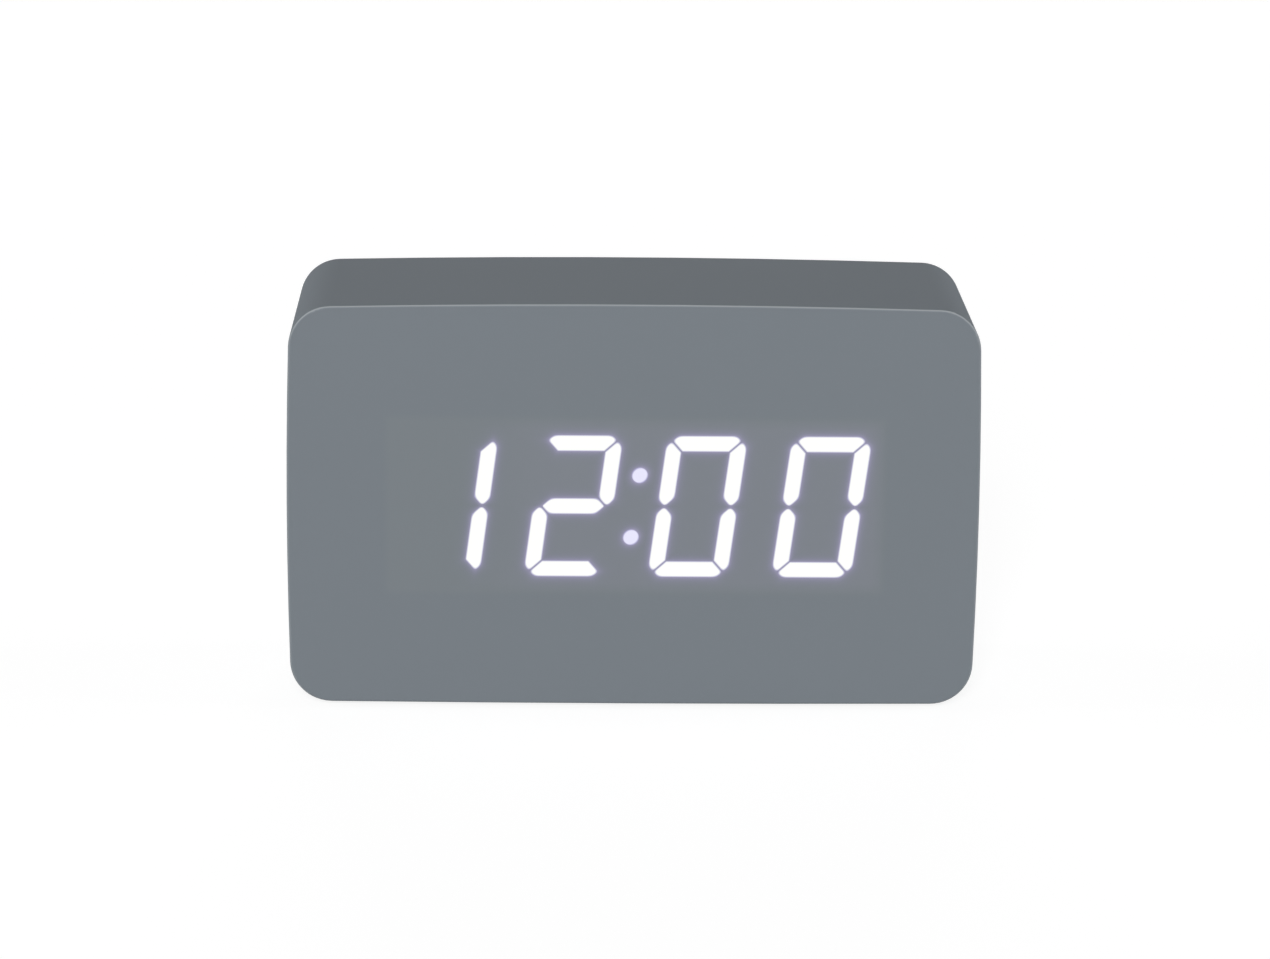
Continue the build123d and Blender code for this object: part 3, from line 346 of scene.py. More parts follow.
def makeBrushedGroup():
    # fine scratches that run along X, for sheet metal and screw heads
    sizes = {"Line Size": 0.0001, "Contrast": 0.2, "Stretch": 0.05}
    group, start, end = newGroup("brushedMetal", sizes, ["Shade", "Height"])
    stretch = triple(group, start.outputs["Stretch"], 1.0, 1.0)
    place = vectorCalc(group, "MULTIPLY", objectCoordinates(group), stretch)
    lines = noise(group, place, start.outputs["Line Size"], detail=4.0, roughness=0.7)
    feed(group, end.inputs["Shade"], shadeFrom(group, lines, start.outputs["Contrast"]))
    feed(group, end.inputs["Height"], lines)
    return group


displayValues = {
    "digitWidth": 17.5,
    "strokeWidth": 3.55,
    "strokeGap": 0.22,
    "cornerCut": 1.13,
    "tipShift": 0.2,  # how far an upright's middle tip stands outwards and past a plain point
    "cornerSoftness": 1.1,  # rounds the shapes' corners
    "slant": 7.5,
    "dotRadius": 1.75,
    "skinDepth": 0.3,  # what lies deeper than this behind the face takes none of the light
    "nearReach": 0.4,
    "wideReach": 0.72,
    "edgeSoftness": 0.34,
    "edgeLevelShare": 0.1,  # how lit a stroke is right at its edge
    "windowWidth": 108.0,
    "windowHeight": 39.0,
    "windowSoftness": 1.5,
    "spillStart": -42.0,  # the light inside the case fills the window from here to the right
    "spillEnd": -14.0,
    "spillFade": 2.5,  # inside the window's edges
}


def digitPlace(name):
    # middle and size of a digit, from the boxes of its lit and dark strokes
    boxes = [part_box(name + "_lit_strokes"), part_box(name + "_dark_strokes")]
    low = Vector(map(min, *[b[0] for b in boxes]))
    high = Vector(map(max, *[b[1] for b in boxes]))
    return (low + high) / 2, high - low


def makeStrokeGroup(values):
    # how far a place is from three strokes of an upright digit; inside a stroke it is below 0
    group, start, end = newGroup("strokeShapes", {"Across": 0.0, "Up": 0.0}, ["Flat", "Upright", "Middle"])
    across, up = start.outputs["Across"], start.outputs["Up"]
    outward = calc(group, "ABSOLUTE", across)
    wide, tall = values["digitWidth"] * mm / 2, digitPlace("hour_units")[1].z / 2
    stroke, cut = values["strokeWidth"] * mm, values["cornerCut"] * mm
    diagonal = math.sqrt(2)
    gap = values["strokeGap"] * mm / diagonal

    def slope(first, second, limit, operation="ADD"):
        total = calc(group, "SUBTRACT", calc(group, operation, first, second), limit)
        return calc(group, "DIVIDE", total, diagonal)

    def rounded(*distances):
        result = distances[0]
        for value in distances[1:]:
            result = calc(group, "SMOOTH_MAX", result, value, values["cornerSoftness"] * mm)
        return result

    corner = wide + tall - gap - 2 * cut
    inner = wide - stroke / 2 - gap
    innerEdge = calc(group, "SUBTRACT", tall - stroke, up)
    outline = rounded(
        calc(group, "SUBTRACT", up, tall),
        slope(outward, up, corner),
        slope(outward, up, wide - gap - tall, "SUBTRACT"),
    )
    outerEdge = calc(group, "SUBTRACT", across, wide)
    upperEnd = rounded(
        outerEdge,
        slope(across, up, corner),
        slope(up, across, tall - gap - wide, "SUBTRACT"),
    )
    lowerEnd = rounded(
        outerEdge,
        slope(across, up, inner + 2 * values["tipShift"] * mm, "SUBTRACT"),
        calc(group, "MULTIPLY", slope(across, up, inner + 2 * gap), -1.0),
        calc(group, "SUBTRACT", wide - stroke, across),
    )
    middle = rounded(calc(group, "SUBTRACT", up, stroke / 2), slope(outward, up, inner))
    feed(group, end.inputs["Flat"], calc(group, "MAXIMUM", outline, innerEdge))
    feed(group, end.inputs["Upright"], calc(group, "MAXIMUM", upperEnd, lowerEnd))
    feed(group, end.inputs["Middle"], middle)
    return group


def dotDistance(group, values, upright, height):
    # how far a place is from the nearer colon dot
    low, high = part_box("colon_dots")
    radius = values["dotRadius"] * mm
    x = calc(group, "SUBTRACT", upright, (low.x + high.x) / 2)
    y = calc(group, "SUBTRACT", height, (high.z - low.z) / 2 - radius)
    return calc(group, "SUBTRACT", vectorCalc(group, "LENGTH", triple(group, x, y)), radius)


def nearestLight(group, values, strokeGroup, x, z):
    # how far a place on the face is from the nearest lit stroke or dot
    up = calc(group, "SUBTRACT", z, digitPlace("hour_units")[0].z)
    height = calc(group, "ABSOLUTE", up)
    lean = math.tan(math.radians(values["slant"]))
    upright = calc(group, "SUBTRACT", x, calc(group, "MULTIPLY", up, lean))

    def beside(value, middle):
        return calc(group, "SUBTRACT", value, middle)

    def strokes(across):
        return placeGroup(group, strokeGroup, Across=across, Up=height)

    # the one is its two right strokes, the two turns about its middle, the two zeros mirror
    one = strokes(beside(upright, digitPlace("hour_tens")[0].x))
    turned = beside(upright, digitPlace("hour_units")[0].x)
    two = strokes(calc(group, "MULTIPLY", turned, calc(group, "SIGN", up)))
    firstZero, lastZero = digitPlace("minute_tens")[0].x, digitPlace("minute_units")[0].x
    mirrored = calc(group, "ABSOLUTE", beside(upright, (firstZero + lastZero) / 2))
    zeros = strokes(calc(group, "ABSOLUTE", beside(mirrored, (lastZero - firstZero) / 2)))
    distances = [one["Upright"]] + [two[label] for label in ("Flat", "Upright", "Middle")]
    distances += [zeros["Flat"], zeros["Upright"], dotDistance(group, values, upright, height)]
    return chain(group, "MINIMUM", distances)


def windowMasks(group, values, x, z, onFace):
    # the display's faint rectangle, and the light inside the case that fills most of it
    low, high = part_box("reflector_block")
    middle = (low + high) / 2
    spread = ramp(group, x, values["spillStart"] * mm, values["spillEnd"] * mm, "SMOOTHSTEP")
    window, spill = [onFace], [onFace, spread]
    for value, centre, extent in ((x, middle.x, "windowWidth"), (z, middle.z, "windowHeight")):
        away = calc(group, "ABSOLUTE", calc(group, "SUBTRACT", value, centre))
        inside = calc(group, "SUBTRACT", values[extent] * mm / 2, away)
        edge = calc(group, "DIVIDE", inside, values["windowSoftness"] * mm)
        window.append(calc(group, "ADD", edge, 0.5, clamp=True))
        spill.append(calc(group, "DIVIDE", inside, values["spillFade"] * mm, clamp=True))
    return chain(group, "MULTIPLY", window), chain(group, "MULTIPLY", spill)


def makeGlowGroup(values, strokeGroup):
    # light that spreads in the face round the lit strokes, and the faint shape of the display behind it
    reaches = {"Near": "Near Reach", "Wide": "Wide Reach"}
    sizes = {
        "Near Reach": values["nearReach"] * mm,
        "Wide Reach": values["wideReach"] * mm,
        "Edge Softness": values["edgeSoftness"] * mm,
    }
    group, start, end = newGroup("strokeGlow", sizes, ["Near", "Wide", "Spill", "Lit", "Window"])
    x, y, z = placeAxes(group)
    onFace = calc(group, "LESS_THAN", y, cadLow.y + values["skinDepth"] * mm)
    nearest = nearestLight(group, values, strokeGroup, x, z)
    inwards = calc(group, "MULTIPLY", nearest, -1.0)
    for label, reach in reaches.items():
        decay = calc(group, "DIVIDE", calc(group, "MINIMUM", inwards, 0.0), start.outputs[reach])
        feed(group, end.inputs[label], calc(group, "MULTIPLY", calc(group, "EXPONENT", decay), onFace))
    depth = calc(group, "DIVIDE", inwards, start.outputs["Edge Softness"])
    feed(group, end.inputs["Lit"], calc(group, "ADD", depth, values["edgeLevelShare"], clamp=True))
    window, spill = windowMasks(group, values, x, z, onFace)
    feed(group, end.inputs["Window"], window)
    feed(group, end.inputs["Spill"], spill)
    return group


def makeEdgeHighlightGroup():
    # a painted highlight on the rounded edges at the front and back of the case, strongest where they face
    # up
    group, start, end = newGroup("paintedEdgeHighlight", {"Sideways Share": 0.3, "Sharpness": 4.0}, ["Edge"])
    sideways = start.outputs["Sideways Share"]
    normal = addNode(group, "ShaderNodeNewGeometry").outputs["Normal"]
    along, up = axisValues(group, normal)[1:]
    flatness = calc(group, "MULTIPLY", along, along)
    outward = calc(group, "SQRT", calc(group, "SUBTRACT", 1.0, flatness, clamp=True))
    both = calc(group, "MULTIPLY", calc(group, "ABSOLUTE", along), outward)
    edge = calc(group, "POWER", calc(group, "MULTIPLY", both, 2.0), start.outputs["Sharpness"])
    rest = calc(group, "SUBTRACT", 1.0, sideways)
    upShare = calc(group, "MULTIPLY", calc(group, "MAXIMUM", up, 0.0), rest)
    upShare = calc(group, "ADD", upShare, sideways, clamp=True)
    feed(group, end.inputs["Edge"], calc(group, "MULTIPLY", edge, upShare))
    return group


grainGroup = makeGrainGroup()
brushedGroup = makeBrushedGroup()
glowGroup = makeGlowGroup(displayValues, makeStrokeGroup(displayValues))
edgeHighlightGroup = makeEdgeHighlightGroup()
print("shader groups made")


# what the materials share; each takes the sizes from the finish's own values, in mm

def addBump(tree, shader, height, depth):
    bump = addNode(tree, "ShaderNodeBump")
    bump.inputs["Distance"].default_value = depth * mm
    bump.inputs["Strength"].default_value = 1.0
    feed(tree, bump.inputs["Height"], height)
    tree.links.new(bump.outputs[0], shader.inputs["Normal"])


def scaleColour(tree, colour, shade):
    # a colour made lighter or darker by a shade that varies round 1
    even = addNode(tree, "ShaderNodeCombineColor")
    for label in ("Red", "Green", "Blue"):
        feed(tree, even.inputs[label], shade)
    return mixColour(tree, 1.0, colour, even.outputs[0], blend="MULTIPLY")


def placeGrain(tree, values):
    sizes = {"Grain Size": values["grainSize"] * mm, "Drift Size": values["driftSize"] * mm}
    return placeGroup(tree, grainGroup, Contrast=values["contrast"], **sizes)


def coatWithGrain(tree, shader, colour, values, mask=None, paint=None):
    # a moulded surface, with paint over it where there is a mask
    grain = placeGrain(tree, values)
    coat = scaleColour(tree, colour, grain["Shade"])
    if mask is not None:
        coat = mixColour(tree, mask, coat, paint)
    feed(tree, shader.inputs["Base Color"], coat)
    addBump(tree, shader, grain["Height"], values["grainDepth"])


def coatWithLines(tree, shader, colour, values):
    # a brushed surface; returns the shade of its scratches
    sizes = {"Line Size": values["lineSize"] * mm}
    brushed = placeGroup(tree, brushedGroup, Contrast=values["contrast"], **sizes)
    feed(tree, shader.inputs["Base Color"], scaleColour(tree, colour, brushed["Shade"]))
    addBump(tree, shader, brushed["Height"], values["lineDepth"])
    return brushed["Shade"]


def facesBack(tree, limit):
    # 1 where the surface faces the back squarely enough, else 0
    normal = addNode(tree, "ShaderNodeNewGeometry").outputs["True Normal"]
    return calc(tree, "GREATER_THAN", axisValues(tree, normal)[1], limit)


# materials of the outside

housingValues = {
    "colour": rgb(122.8, 129.6, 135.8),
    "windowColour": rgb(125, 131.6, 136.6),
    # the colour of the painted highlight on the case's rounded edges
    "edgeColour": rgb(176, 181, 184),
    "roughness": 0.85,
    "specular": 0.03,
    "grainSize": 0.28,
    "driftSize": 30,
    "grainDepth": 0.006,
    "contrast": 0.05,
    "nearGlow": (0.07, 0.06, 0.09, 1.0),
    "wideGlow": (0.046, 0.022, 0.105, 1.0),
    "spillGlow": (0.0145, 0.0095, 0.019, 1.0),
}


def faceFinish(tree, shader, colour, glow):
    # what the face and its unlit strokes share: grain, bump, and the strokes' light in the skin
    values = housingValues
    coatWithGrain(tree, shader, colour, values)
    light = scaleColour(tree, values["spillGlow"], glow["Spill"])
    for tint, share in ((values["wideGlow"], glow["Wide"]), (values["nearGlow"], glow["Near"])):
        light = mixColour(tree, 1.0, light, scaleColour(tree, tint, share), blend="ADD")
    feed(tree, shader.inputs["Emission Color"], light)
    shader.inputs["Emission Strength"].default_value = 1.0
    shader.inputs["Specular IOR Level"].default_value = values["specular"]


def housingPlastic():
    # grey matte moulding with a painted highlight on its rounded edges; the strokes' light spreads a little
    # way into it
    values = housingValues
    material, tree, shader = newMaterial("housingPlastic", values["roughness"])
    glow = placeGroup(tree, glowGroup)
    edge = placeGroup(tree, edgeHighlightGroup)["Edge"]
    colour = mixColour(tree, glow["Window"], values["colour"], values["windowColour"])
    # the rounded edges take the painted highlight colour
    faceFinish(tree, shader, mixColour(tree, edge, colour, values["edgeColour"]), glow)
    return material


coverValues = {
    "colour": rgb(104, 109, 114),
    "markColour": rgb(214, 216, 216),
    "markBox": ((4.5, 27.5), (40.0, 48.0)),  # the slide switch's marks lie in here: x and z
    "markDepth": 0.1,  # they are cut deeper than this
    "markFacing": 0.9,
    "roughness": 0.6,
    "grainSize": 0.45,
    "driftSize": 30,
    "grainDepth": 0.02,
    "contrast": 0.08,
}


def coverPlastic():
    # spark-textured grey moulding with two painted marks beside the slide switch
    values = coverValues
    material, tree, shader = newMaterial("coverPlastic", values["roughness"])
    x, y, z = placeAxes(tree)
    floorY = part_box("rear_cover")[1].y - values["markDepth"] * mm
    masks = [calc(tree, "LESS_THAN", y, floorY), facesBack(tree, values["markFacing"])]
    for value, (first, last) in zip((x, z), values["markBox"]):
        masks.append(calc(tree, "GREATER_THAN", value, first * mm))
        masks.append(calc(tree, "LESS_THAN", value, last * mm))
    mask = chain(tree, "MULTIPLY", masks)
    coatWithGrain(tree, shader, values["colour"], values, mask, values["markColour"])
    return material


keyValues = {
    "colour": rgb(62, 65, 69),
    "iconColour": rgb(226, 228, 228),
    "iconDepth": (0.27, 1.0),  # the icons' floors lie between these depths
    "iconFacing": 0.9,
    "roughness": 0.45,
    "grainSize": 0.25,
    "driftSize": 4,
    "grainDepth": 0.004,
    "contrast": 0.12,
}


def keyPlastic(name, node):
    # dark grey key whose cut mark is filled with white paint
    values = keyValues
    material, tree, shader = newMaterial(name, values["roughness"])
    y = placeAxes(tree)[1]
    shallow, deep = [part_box(node)[1].y - depth * mm for depth in values["iconDepth"]]
    masks = [calc(tree, "LESS_THAN", y, shallow), calc(tree, "GREATER_THAN", y, deep)]
    mask = chain(tree, "MULTIPLY", masks + [facesBack(tree, values["iconFacing"])])
    coatWithGrain(tree, shader, values["colour"], values, mask, values["iconColour"])
    return material


lightValues = {
    "strokeColour": rgb(254, 255, 252),
    "dotColour": rgb(231, 229, 251),
    "rimColour": rgb(158, 155, 196),
    "bodyColour": grey(0.02),  # what a lit guide adds by reflection
    "grainSize": 0.8,
    "driftSize": 6,
    "contrast": 0.02,
    "guideColour": rgb(206, 208, 210),
    "guideStart": 1.0,  # mm behind the face: an unlit guide is milky past here
}


def litPlastic(name, colour):
    # a light guide that is lit from behind, a touch uneven, and dimmer at its rim
    values = lightValues
    material, tree, shader = newMaterial(name, housingValues["roughness"])
    light = mixColour(tree, placeGroup(tree, glowGroup)["Lit"], values["rimColour"], colour)
    shade = placeGrain(tree, values)["Shade"]
    feed(tree, shader.inputs["Emission Color"], scaleColour(tree, light, shade))
    shader.inputs["Emission Strength"].default_value = 1.0
    shader.inputs["Base Color"].default_value = values["bodyColour"]
    shader.inputs["Specular IOR Level"].default_value = housingValues["specular"]
    return material


def darkStrokePlastic():
    # an unlit light guide: its front looks all but the same as the face round it, and the rest is milky
    material, tree, shader = newMaterial("darkStrokePlastic", housingValues["roughness"])
    y = placeAxes(tree)[1]
    behind = calc(tree, "GREATER_THAN", y, cadLow.y + lightValues["guideStart"] * mm)
    colour = mixColour(tree, behind, housingValues["windowColour"], lightValues["guideColour"])
    faceFinish(tree, shader, colour, placeGroup(tree, glowGroup))
    return material


# materials of the inside

boardValues = {
    "mask": rgb(22, 84, 50),
    "track": rgb(38, 116, 70),
    "pad": rgb(200, 192, 168),
    "trackPitch": 1.1,
    "trackShare": 0.4,  # of the pitch
    "trackHeight": 0.03,
    "patchSize": 7.0,
    "clearingSize": 9.0,  # of the areas without tracks
    "viaPitch": 4.4,
    "viaRadius": 0.36,
    "viaSkipShare": 0.4,  # of the places that a via could take
    "roughness": 0.35,
    "grainSize": 0.2,
    "driftSize": 10,
    "contrast": 0.15,
}


def boardLaminate():
    # green solder mask over tracks that run up or across in patches, with a few tinned vias
    values = boardValues
    material, tree, shader = newMaterial("boardLaminate", values["roughness"])
    x, y, z = placeAxes(tree)
    flat = triple(tree, x, z)
    patch = vectorCalc(tree, "DIVIDE", flat, (values["patchSize"] * mm,) * 3)
    chance = addNode(tree, "ShaderNodeTexWhiteNoise", noise_dimensions="2D")
    feed(tree, chance.inputs["Vector"], vectorCalc(tree, "FLOOR", patch))
    across = addNode(tree, "ShaderNodeMix", data_type="FLOAT")
    feed(tree, across.inputs[0], calc(tree, "GREATER_THAN", chance.outputs["Value"], 0.5))
    feed(tree, across.inputs[2], x)
    feed(tree, across.inputs[3], z)
    steps = calc(tree, "FRACT", calc(tree, "DIVIDE", across.outputs[0], values["trackPitch"] * mm))
    stripes = calc(tree, "LESS_THAN", steps, values["trackShare"])
    some = calc(tree, "GREATER_THAN", noise(tree, flat, values["clearingSize"] * mm, detail=0.0), 0.5)
    track = calc(tree, "MULTIPLY", stripes, some)
    vias = addNode(tree, "ShaderNodeTexVoronoi", voronoi_dimensions="2D")
    feed(tree, vias.inputs["Vector"], flat)
    vias.inputs["Scale"].default_value = 1 / (values["viaPitch"] * mm)
    via = calc(tree, "LESS_THAN", vias.outputs["Distance"], values["viaRadius"] / values["viaPitch"])
    picked = calc(tree, "GREATER_THAN", axisValues(tree, vias.outputs["Color"])[0], values["viaSkipShare"])
    via = calc(tree, "MULTIPLY", via, picked)
    shade = placeGrain(tree, values)["Shade"]
    green = scaleColour(tree, mixColour(tree, track, values["mask"], values["track"]), shade)
    feed(tree, shader.inputs["Base Color"], mixColour(tree, via, green, values["pad"]))
    feed(tree, shader.inputs["Metallic"], via)
    addBump(tree, shader, calc(tree, "ADD", track, via), values["trackHeight"])
    return material


cellValues = {
    "jacket": rgb(30, 44, 72),
    "band": rgb(186, 118, 54),
    "line": rgb(214, 214, 210),
    "metal": rgb(190, 190, 186),
    "jacketShares": (0.018, 0.972),  # of the cell's length
    "bandStartShare": 0.70,
    "lineHalfShare": 0.006,
    "signBars": (  # place and half width as shares of the length, half height in mm
        (0.85, 0.036, 0.3),
        (0.85, 0.0068, 1.6),
        (0.12, 0.036, 0.3),
    ),
    "metallic": 0.9,
    "roughness": 0.3,
    "grainSize": 0.4,
    "driftSize": 10,
    "grainDepth": 0.002,
    "contrast": 0.1,
}


def cellJacket(node, side):
    # a printed sleeve: dark body, a copper band at the positive end, bare metal at both ends
    values = cellValues
    material, tree, shader = newMaterial(node + "Jacket", values["roughness"])
    low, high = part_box(node)
    middle = (low + high) / 2
    x, y, z = placeAxes(tree)
    share = ramp(tree, x, *((low.x, high.x) if side > 0 else (high.x, low.x)))
    band = calc(tree, "GREATER_THAN", share, values["bandStartShare"])
    jacketStart, jacketEnd = values["jacketShares"]
    ends = calc(tree, "GREATER_THAN", share, jacketEnd)
    ends = calc(tree, "MAXIMUM", ends, calc(tree, "LESS_THAN", share, jacketStart))
    away = calc(tree, "ABSOLUTE", calc(tree, "SUBTRACT", z, middle.z))
    bars = []
    for place, halfWidth, halfHeight in values["signBars"]:
        bar = calc(tree, "COMPARE", share, place, halfWidth)
        bars.append(calc(tree, "MULTIPLY", bar, calc(tree, "LESS_THAN", away, halfHeight * mm)))
    signs = calc(tree, "MULTIPLY", chain(tree, "MAXIMUM", bars), calc(tree, "GREATER_THAN", y, middle.y))
    line = calc(tree, "COMPARE", share, values["bandStartShare"], values["lineHalfShare"])
    paint = calc(tree, "MAXIMUM", line, signs)
    colour = mixColour(tree, band, values["jacket"], values["band"])
    colour = mixColour(tree, paint, colour, values["line"])
    coatWithGrain(tree, shader, mixColour(tree, ends, colour, values["metal"]), values)
    bare = calc(tree, "SUBTRACT", calc(tree, "MAXIMUM", ends, band), paint, clamp=True)
    feed(tree, shader.inputs["Metallic"], calc(tree, "MULTIPLY", bare, values["metallic"]))
    return material


ribbonValues = {
    "colour": rgb(150, 152, 156),
    "edgeColour": rgb(176, 40, 34),
    "edgeWidth": 1.2,
    "roughness": 0.5,
    "grainSize": 0.3,
    "driftSize": 10,
    "grainDepth": 0.003,
    "contrast": 0.1,
}


def ribbonSleeve():
    # grey flat cable with one red edge core
    values = ribbonValues
    material, tree, shader = newMaterial("ribbonSleeve", values["roughness"])
    x = placeAxes(tree)[0]
    redEdge = calc(tree, "LESS_THAN", x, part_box("ribbon_cable")[0].x + values["edgeWidth"] * mm)
    coatWithGrain(tree, shader, mixColour(tree, redEdge, values["colour"], values["edgeColour"]), values)
    return material


capacitorValues = {
    "canColour": rgb(206, 208, 210),
    "darkColour": rgb(26, 26, 28),
    "topDepth": 0.4,
    "moonWidth": 2.2,
    "baseHeight": 1.25,
    "roughness": 0.3,
    "lineSize": 0.2,
    "lineDepth": 0.001,
    "contrast": 0.15,
}


def capacitorCan():
    # bare can with the dark half-moon that marks its negative side, on a black base
    values = capacitorValues
    material, tree, shader = newMaterial("capacitorCan", values["roughness"])
    low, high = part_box("smoothing_capacitor")
    x, y, z = placeAxes(tree)
    top = calc(tree, "LESS_THAN", y, low.y + values["topDepth"] * mm)
    moon = calc(tree, "MULTIPLY", top, calc(tree, "LESS_THAN", x, low.x + values["moonWidth"] * mm))
    base = calc(tree, "GREATER_THAN", y, high.y - values["baseHeight"] * mm)
    dark = calc(tree, "MAXIMUM", moon, base)
    coatWithLines(tree, shader, mixColour(tree, dark, values["canColour"], values["darkColour"]), values)
    feed(tree, shader.inputs["Metallic"], calc(tree, "SUBTRACT", 1.0, dark))
    return material


keySwitchValues = {
    "baseColour": rgb(30, 30, 32),
    "plateColour": rgb(186, 188, 188),
    "plateDepth": 0.6,
    "roughness": 0.35,
    "lineSize": 0.15,
    "lineDepth": 0.001,
    "contrast": 0.2,
}


def keySwitchMetal():
    # black base under a nickel-plated cover plate
    values = keySwitchValues
    material, tree, shader = newMaterial("keySwitchMetal", values["roughness"])
    y = placeAxes(tree)[1]
    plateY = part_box("key_switch_bases")[1].y - values["plateDepth"] * mm
    plate = calc(tree, "GREATER_THAN", y, plateY)
    coatWithLines(tree, shader, mixColour(tree, plate, values["baseColour"], values["plateColour"]), values)
    feed(tree, shader.inputs["Metallic"], plate)
    return material


emitterValues = {
    "bodyColour": rgb(236, 236, 232),
    "lensColour": rgb(240, 224, 120),
    "lensDepth": 0.15,
    "roughness": 0.3,
    "grainSize": 0.2,
    "driftSize": 5,
    "grainDepth": 0.001,
    "contrast": 0.1,
}


def emitterPlastic():
    # white emitter packages with a yellow lens on the side that faces the guides
    values = emitterValues
    material, tree, shader = newMaterial("emitterPlastic", values["roughness"])
    y = placeAxes(tree)[1]
    lens = calc(tree, "LESS_THAN", y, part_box("led_chips")[0].y + values["lensDepth"] * mm)
    coatWithGrain(tree, shader, mixColour(tree, lens, values["bodyColour"], values["lensColour"]), values)
    return material


# plain plastics and metals, each with what differs from the usual values

plasticValues = {"grainSize": 0.3, "driftSize": 30, "grainDepth": 0.004, "contrast": 0.1}
plastics = {
    "blackPlastic": {"colour": rgb(32, 32, 34), "roughness": 0.45},
    "creamPlastic": {"colour": rgb(226, 220, 204), "roughness": 0.45},
    "whitePlastic": {"colour": rgb(238, 238, 234), "roughness": 0.6},
    "gripPlastic": {"colour": keyValues["colour"], "roughness": keyValues["roughness"]},
    "redSleeve": {"colour": rgb(178, 34, 30), "roughness": 0.4},
    "blackSleeve": {"colour": rgb(28, 28, 30), "roughness": 0.4},
    "foamBlack": {
        "colour": rgb(30, 30, 31), "roughness": 0.95, "grainSize": 0.8, "grainDepth": 0.15, "contrast": 0.5
    },
    "footRubber": {
        "colour": rgb(34, 34, 35), "roughness": 0.85, "grainSize": 0.35, "grainDepth": 0.02, "contrast": 0.25
    },
}

metalValues = {"lineSize": 0.12, "lineDepth": 0.002, "contrast": 0.25}
metals = {
    "nickelPlate": {"colour": rgb(196, 196, 192), "roughness": 0.3},
    "screwSteel": {"colour": rgb(150, 151, 153), "roughness": 0.38},
    "copperFoil": {"colour": rgb(196, 126, 92), "roughness": 0.35},
    "goldPlate": {"colour": rgb(226, 186, 104), "roughness": 0.28},
    "solderTin": {"colour": rgb(176, 178, 180), "roughness": 0.32, "lineSize": 0.4, "contrast": 0.3},
}


def plainPlastic(name, values):
    material, tree, shader = newMaterial(name, values["roughness"])
    coatWithGrain(tree, shader, values["colour"], values)
    return material


def metal(name, values):
    material, tree, shader = newMaterial(name, values["roughness"], 1.0)
    shade = coatWithLines(tree, shader, values["colour"], values)
    feed(tree, shader.inputs["Roughness"], calc(tree, "MULTIPLY", shade, values["roughness"]))
    return material


made = [housingPlastic(), coverPlastic(), darkStrokePlastic(), emitterPlastic(), boardLaminate()]
made += [ribbonSleeve(), capacitorCan(), keySwitchMetal()]
made += [litPlastic(name + "Light", lightValues[name + "Colour"]) for name in ("stroke", "dot")]
made += [plainPlastic(name, {**plasticValues, **values}) for name, values in plastics.items()]
made += [metal(name, {**metalValues, **values}) for name, values in metals.items()]
finishes = {material.name: material for material in made}


def nodesEnding(ending):
    return [node for node in frame["nodes"] if node.endswith(ending)]


wearers = {  # the nodes that take each finish
    "housingPlastic": ["front_housing"],
    "coverPlastic": ["rear_cover", "battery_door"],
    "darkStrokePlastic": nodesEnding("_dark_strokes"),
    "strokeLight": nodesEnding("_lit_strokes"),
    "dotLight": ["colon_dots"],
    "screwSteel": nodesEnding("_screws"),
    "footRubber": ["rubber_feet"],
    "gripPlastic": ["slide_switch_grip"],
    "whitePlastic": ["reflector_block"],
    "foamBlack": ["display_gasket"],
    "emitterPlastic": ["led_chips"],
    "boardLaminate": ["display_board", "main_board"],
    "blackPlastic": [
        "display_driver_chip", "controller_chip", "board_resistors", "piezo_sounder", "slide_switch_lever",
        "power_socket_tongue",
    ] + nodesEnding("_key_plunger"),
    "creamPlastic": nodesEnding("_header"),
    "ribbonSleeve": ["ribbon_cable"],
    "capacitorCan": ["smoothing_capacitor"],
    "keySwitchMetal": ["key_switch_bases"],
    "nickelPlate": [
        "quartz_crystal", "slide_switch_base", "power_socket_shell", "battery_contact_plates",
        "battery_contact_springs",
    ],
    "redSleeve": ["battery_lead_red"],
    "blackSleeve": ["battery_lead_black", "touch_lead"],
    "copperFoil": ["touch_plate"],
}
nodeFinishes = {node: finishes[name] for name, nodes in wearers.items() for node in nodes}
for node, side in (("battery_top", 1), ("battery_middle", -1), ("battery_bottom", 1)):
    nodeFinishes[node] = cellJacket(node, side)
for node in nodesEnding("_key"):
    nodeFinishes[node] = keyPlastic(node + "Plastic", node)
for node, material in nodeFinishes.items():
    mesh = frame["nodes"][node].data
    mesh.materials.clear()
    mesh.materials.append(material)
plainNodes = sorted(set(frame["nodes"]) - set(nodeFinishes))
print("finishes given:", len(nodeFinishes), "without one:", plainNodes)


# small repeated pieces, each a shape that a geometry tree puts on points

def newShapeTree(name, sizes):
    # a tree with its sizes as named inputs; returns it with its end nodes
    tree = bpy.data.node_groups.new(name, "GeometryNodeTree")

    def addInput(label, kind):
        return tree.interface.new_socket(label, in_out="INPUT", socket_type="NodeSocket" + kind)

    shared = {"Points": "Geometry", "Turn": "Float", "Shift": "Vector", "Finish": "Material"}
    for label, kind in shared.items():
        addInput(label, kind)
    for label, value in sizes.items():
        addInput(label, "Float").default_value = value
    tree.interface.new_socket("Shapes", in_out="OUTPUT", socket_type="NodeSocketGeometry")
    return tree, addNode(tree, "NodeGroupInput"), addNode(tree, "NodeGroupOutput")


def moved(tree, geometry, shift, turn=None):
    node = addNode(tree, "GeometryNodeTransform")
    tree.links.new(geometry, node.inputs["Geometry"])
    feed(tree, node.inputs["Translation"], shift)
    if turn is not None:
        feed(tree, node.inputs["Rotation"], turn)
    return node.outputs["Geometry"]


def raised(tree, geometry, height):
    # lifted by half its height, so that it stands on the surface
    return moved(tree, geometry, triple(tree, z=calc(tree, "MULTIPLY", height, 0.5)))


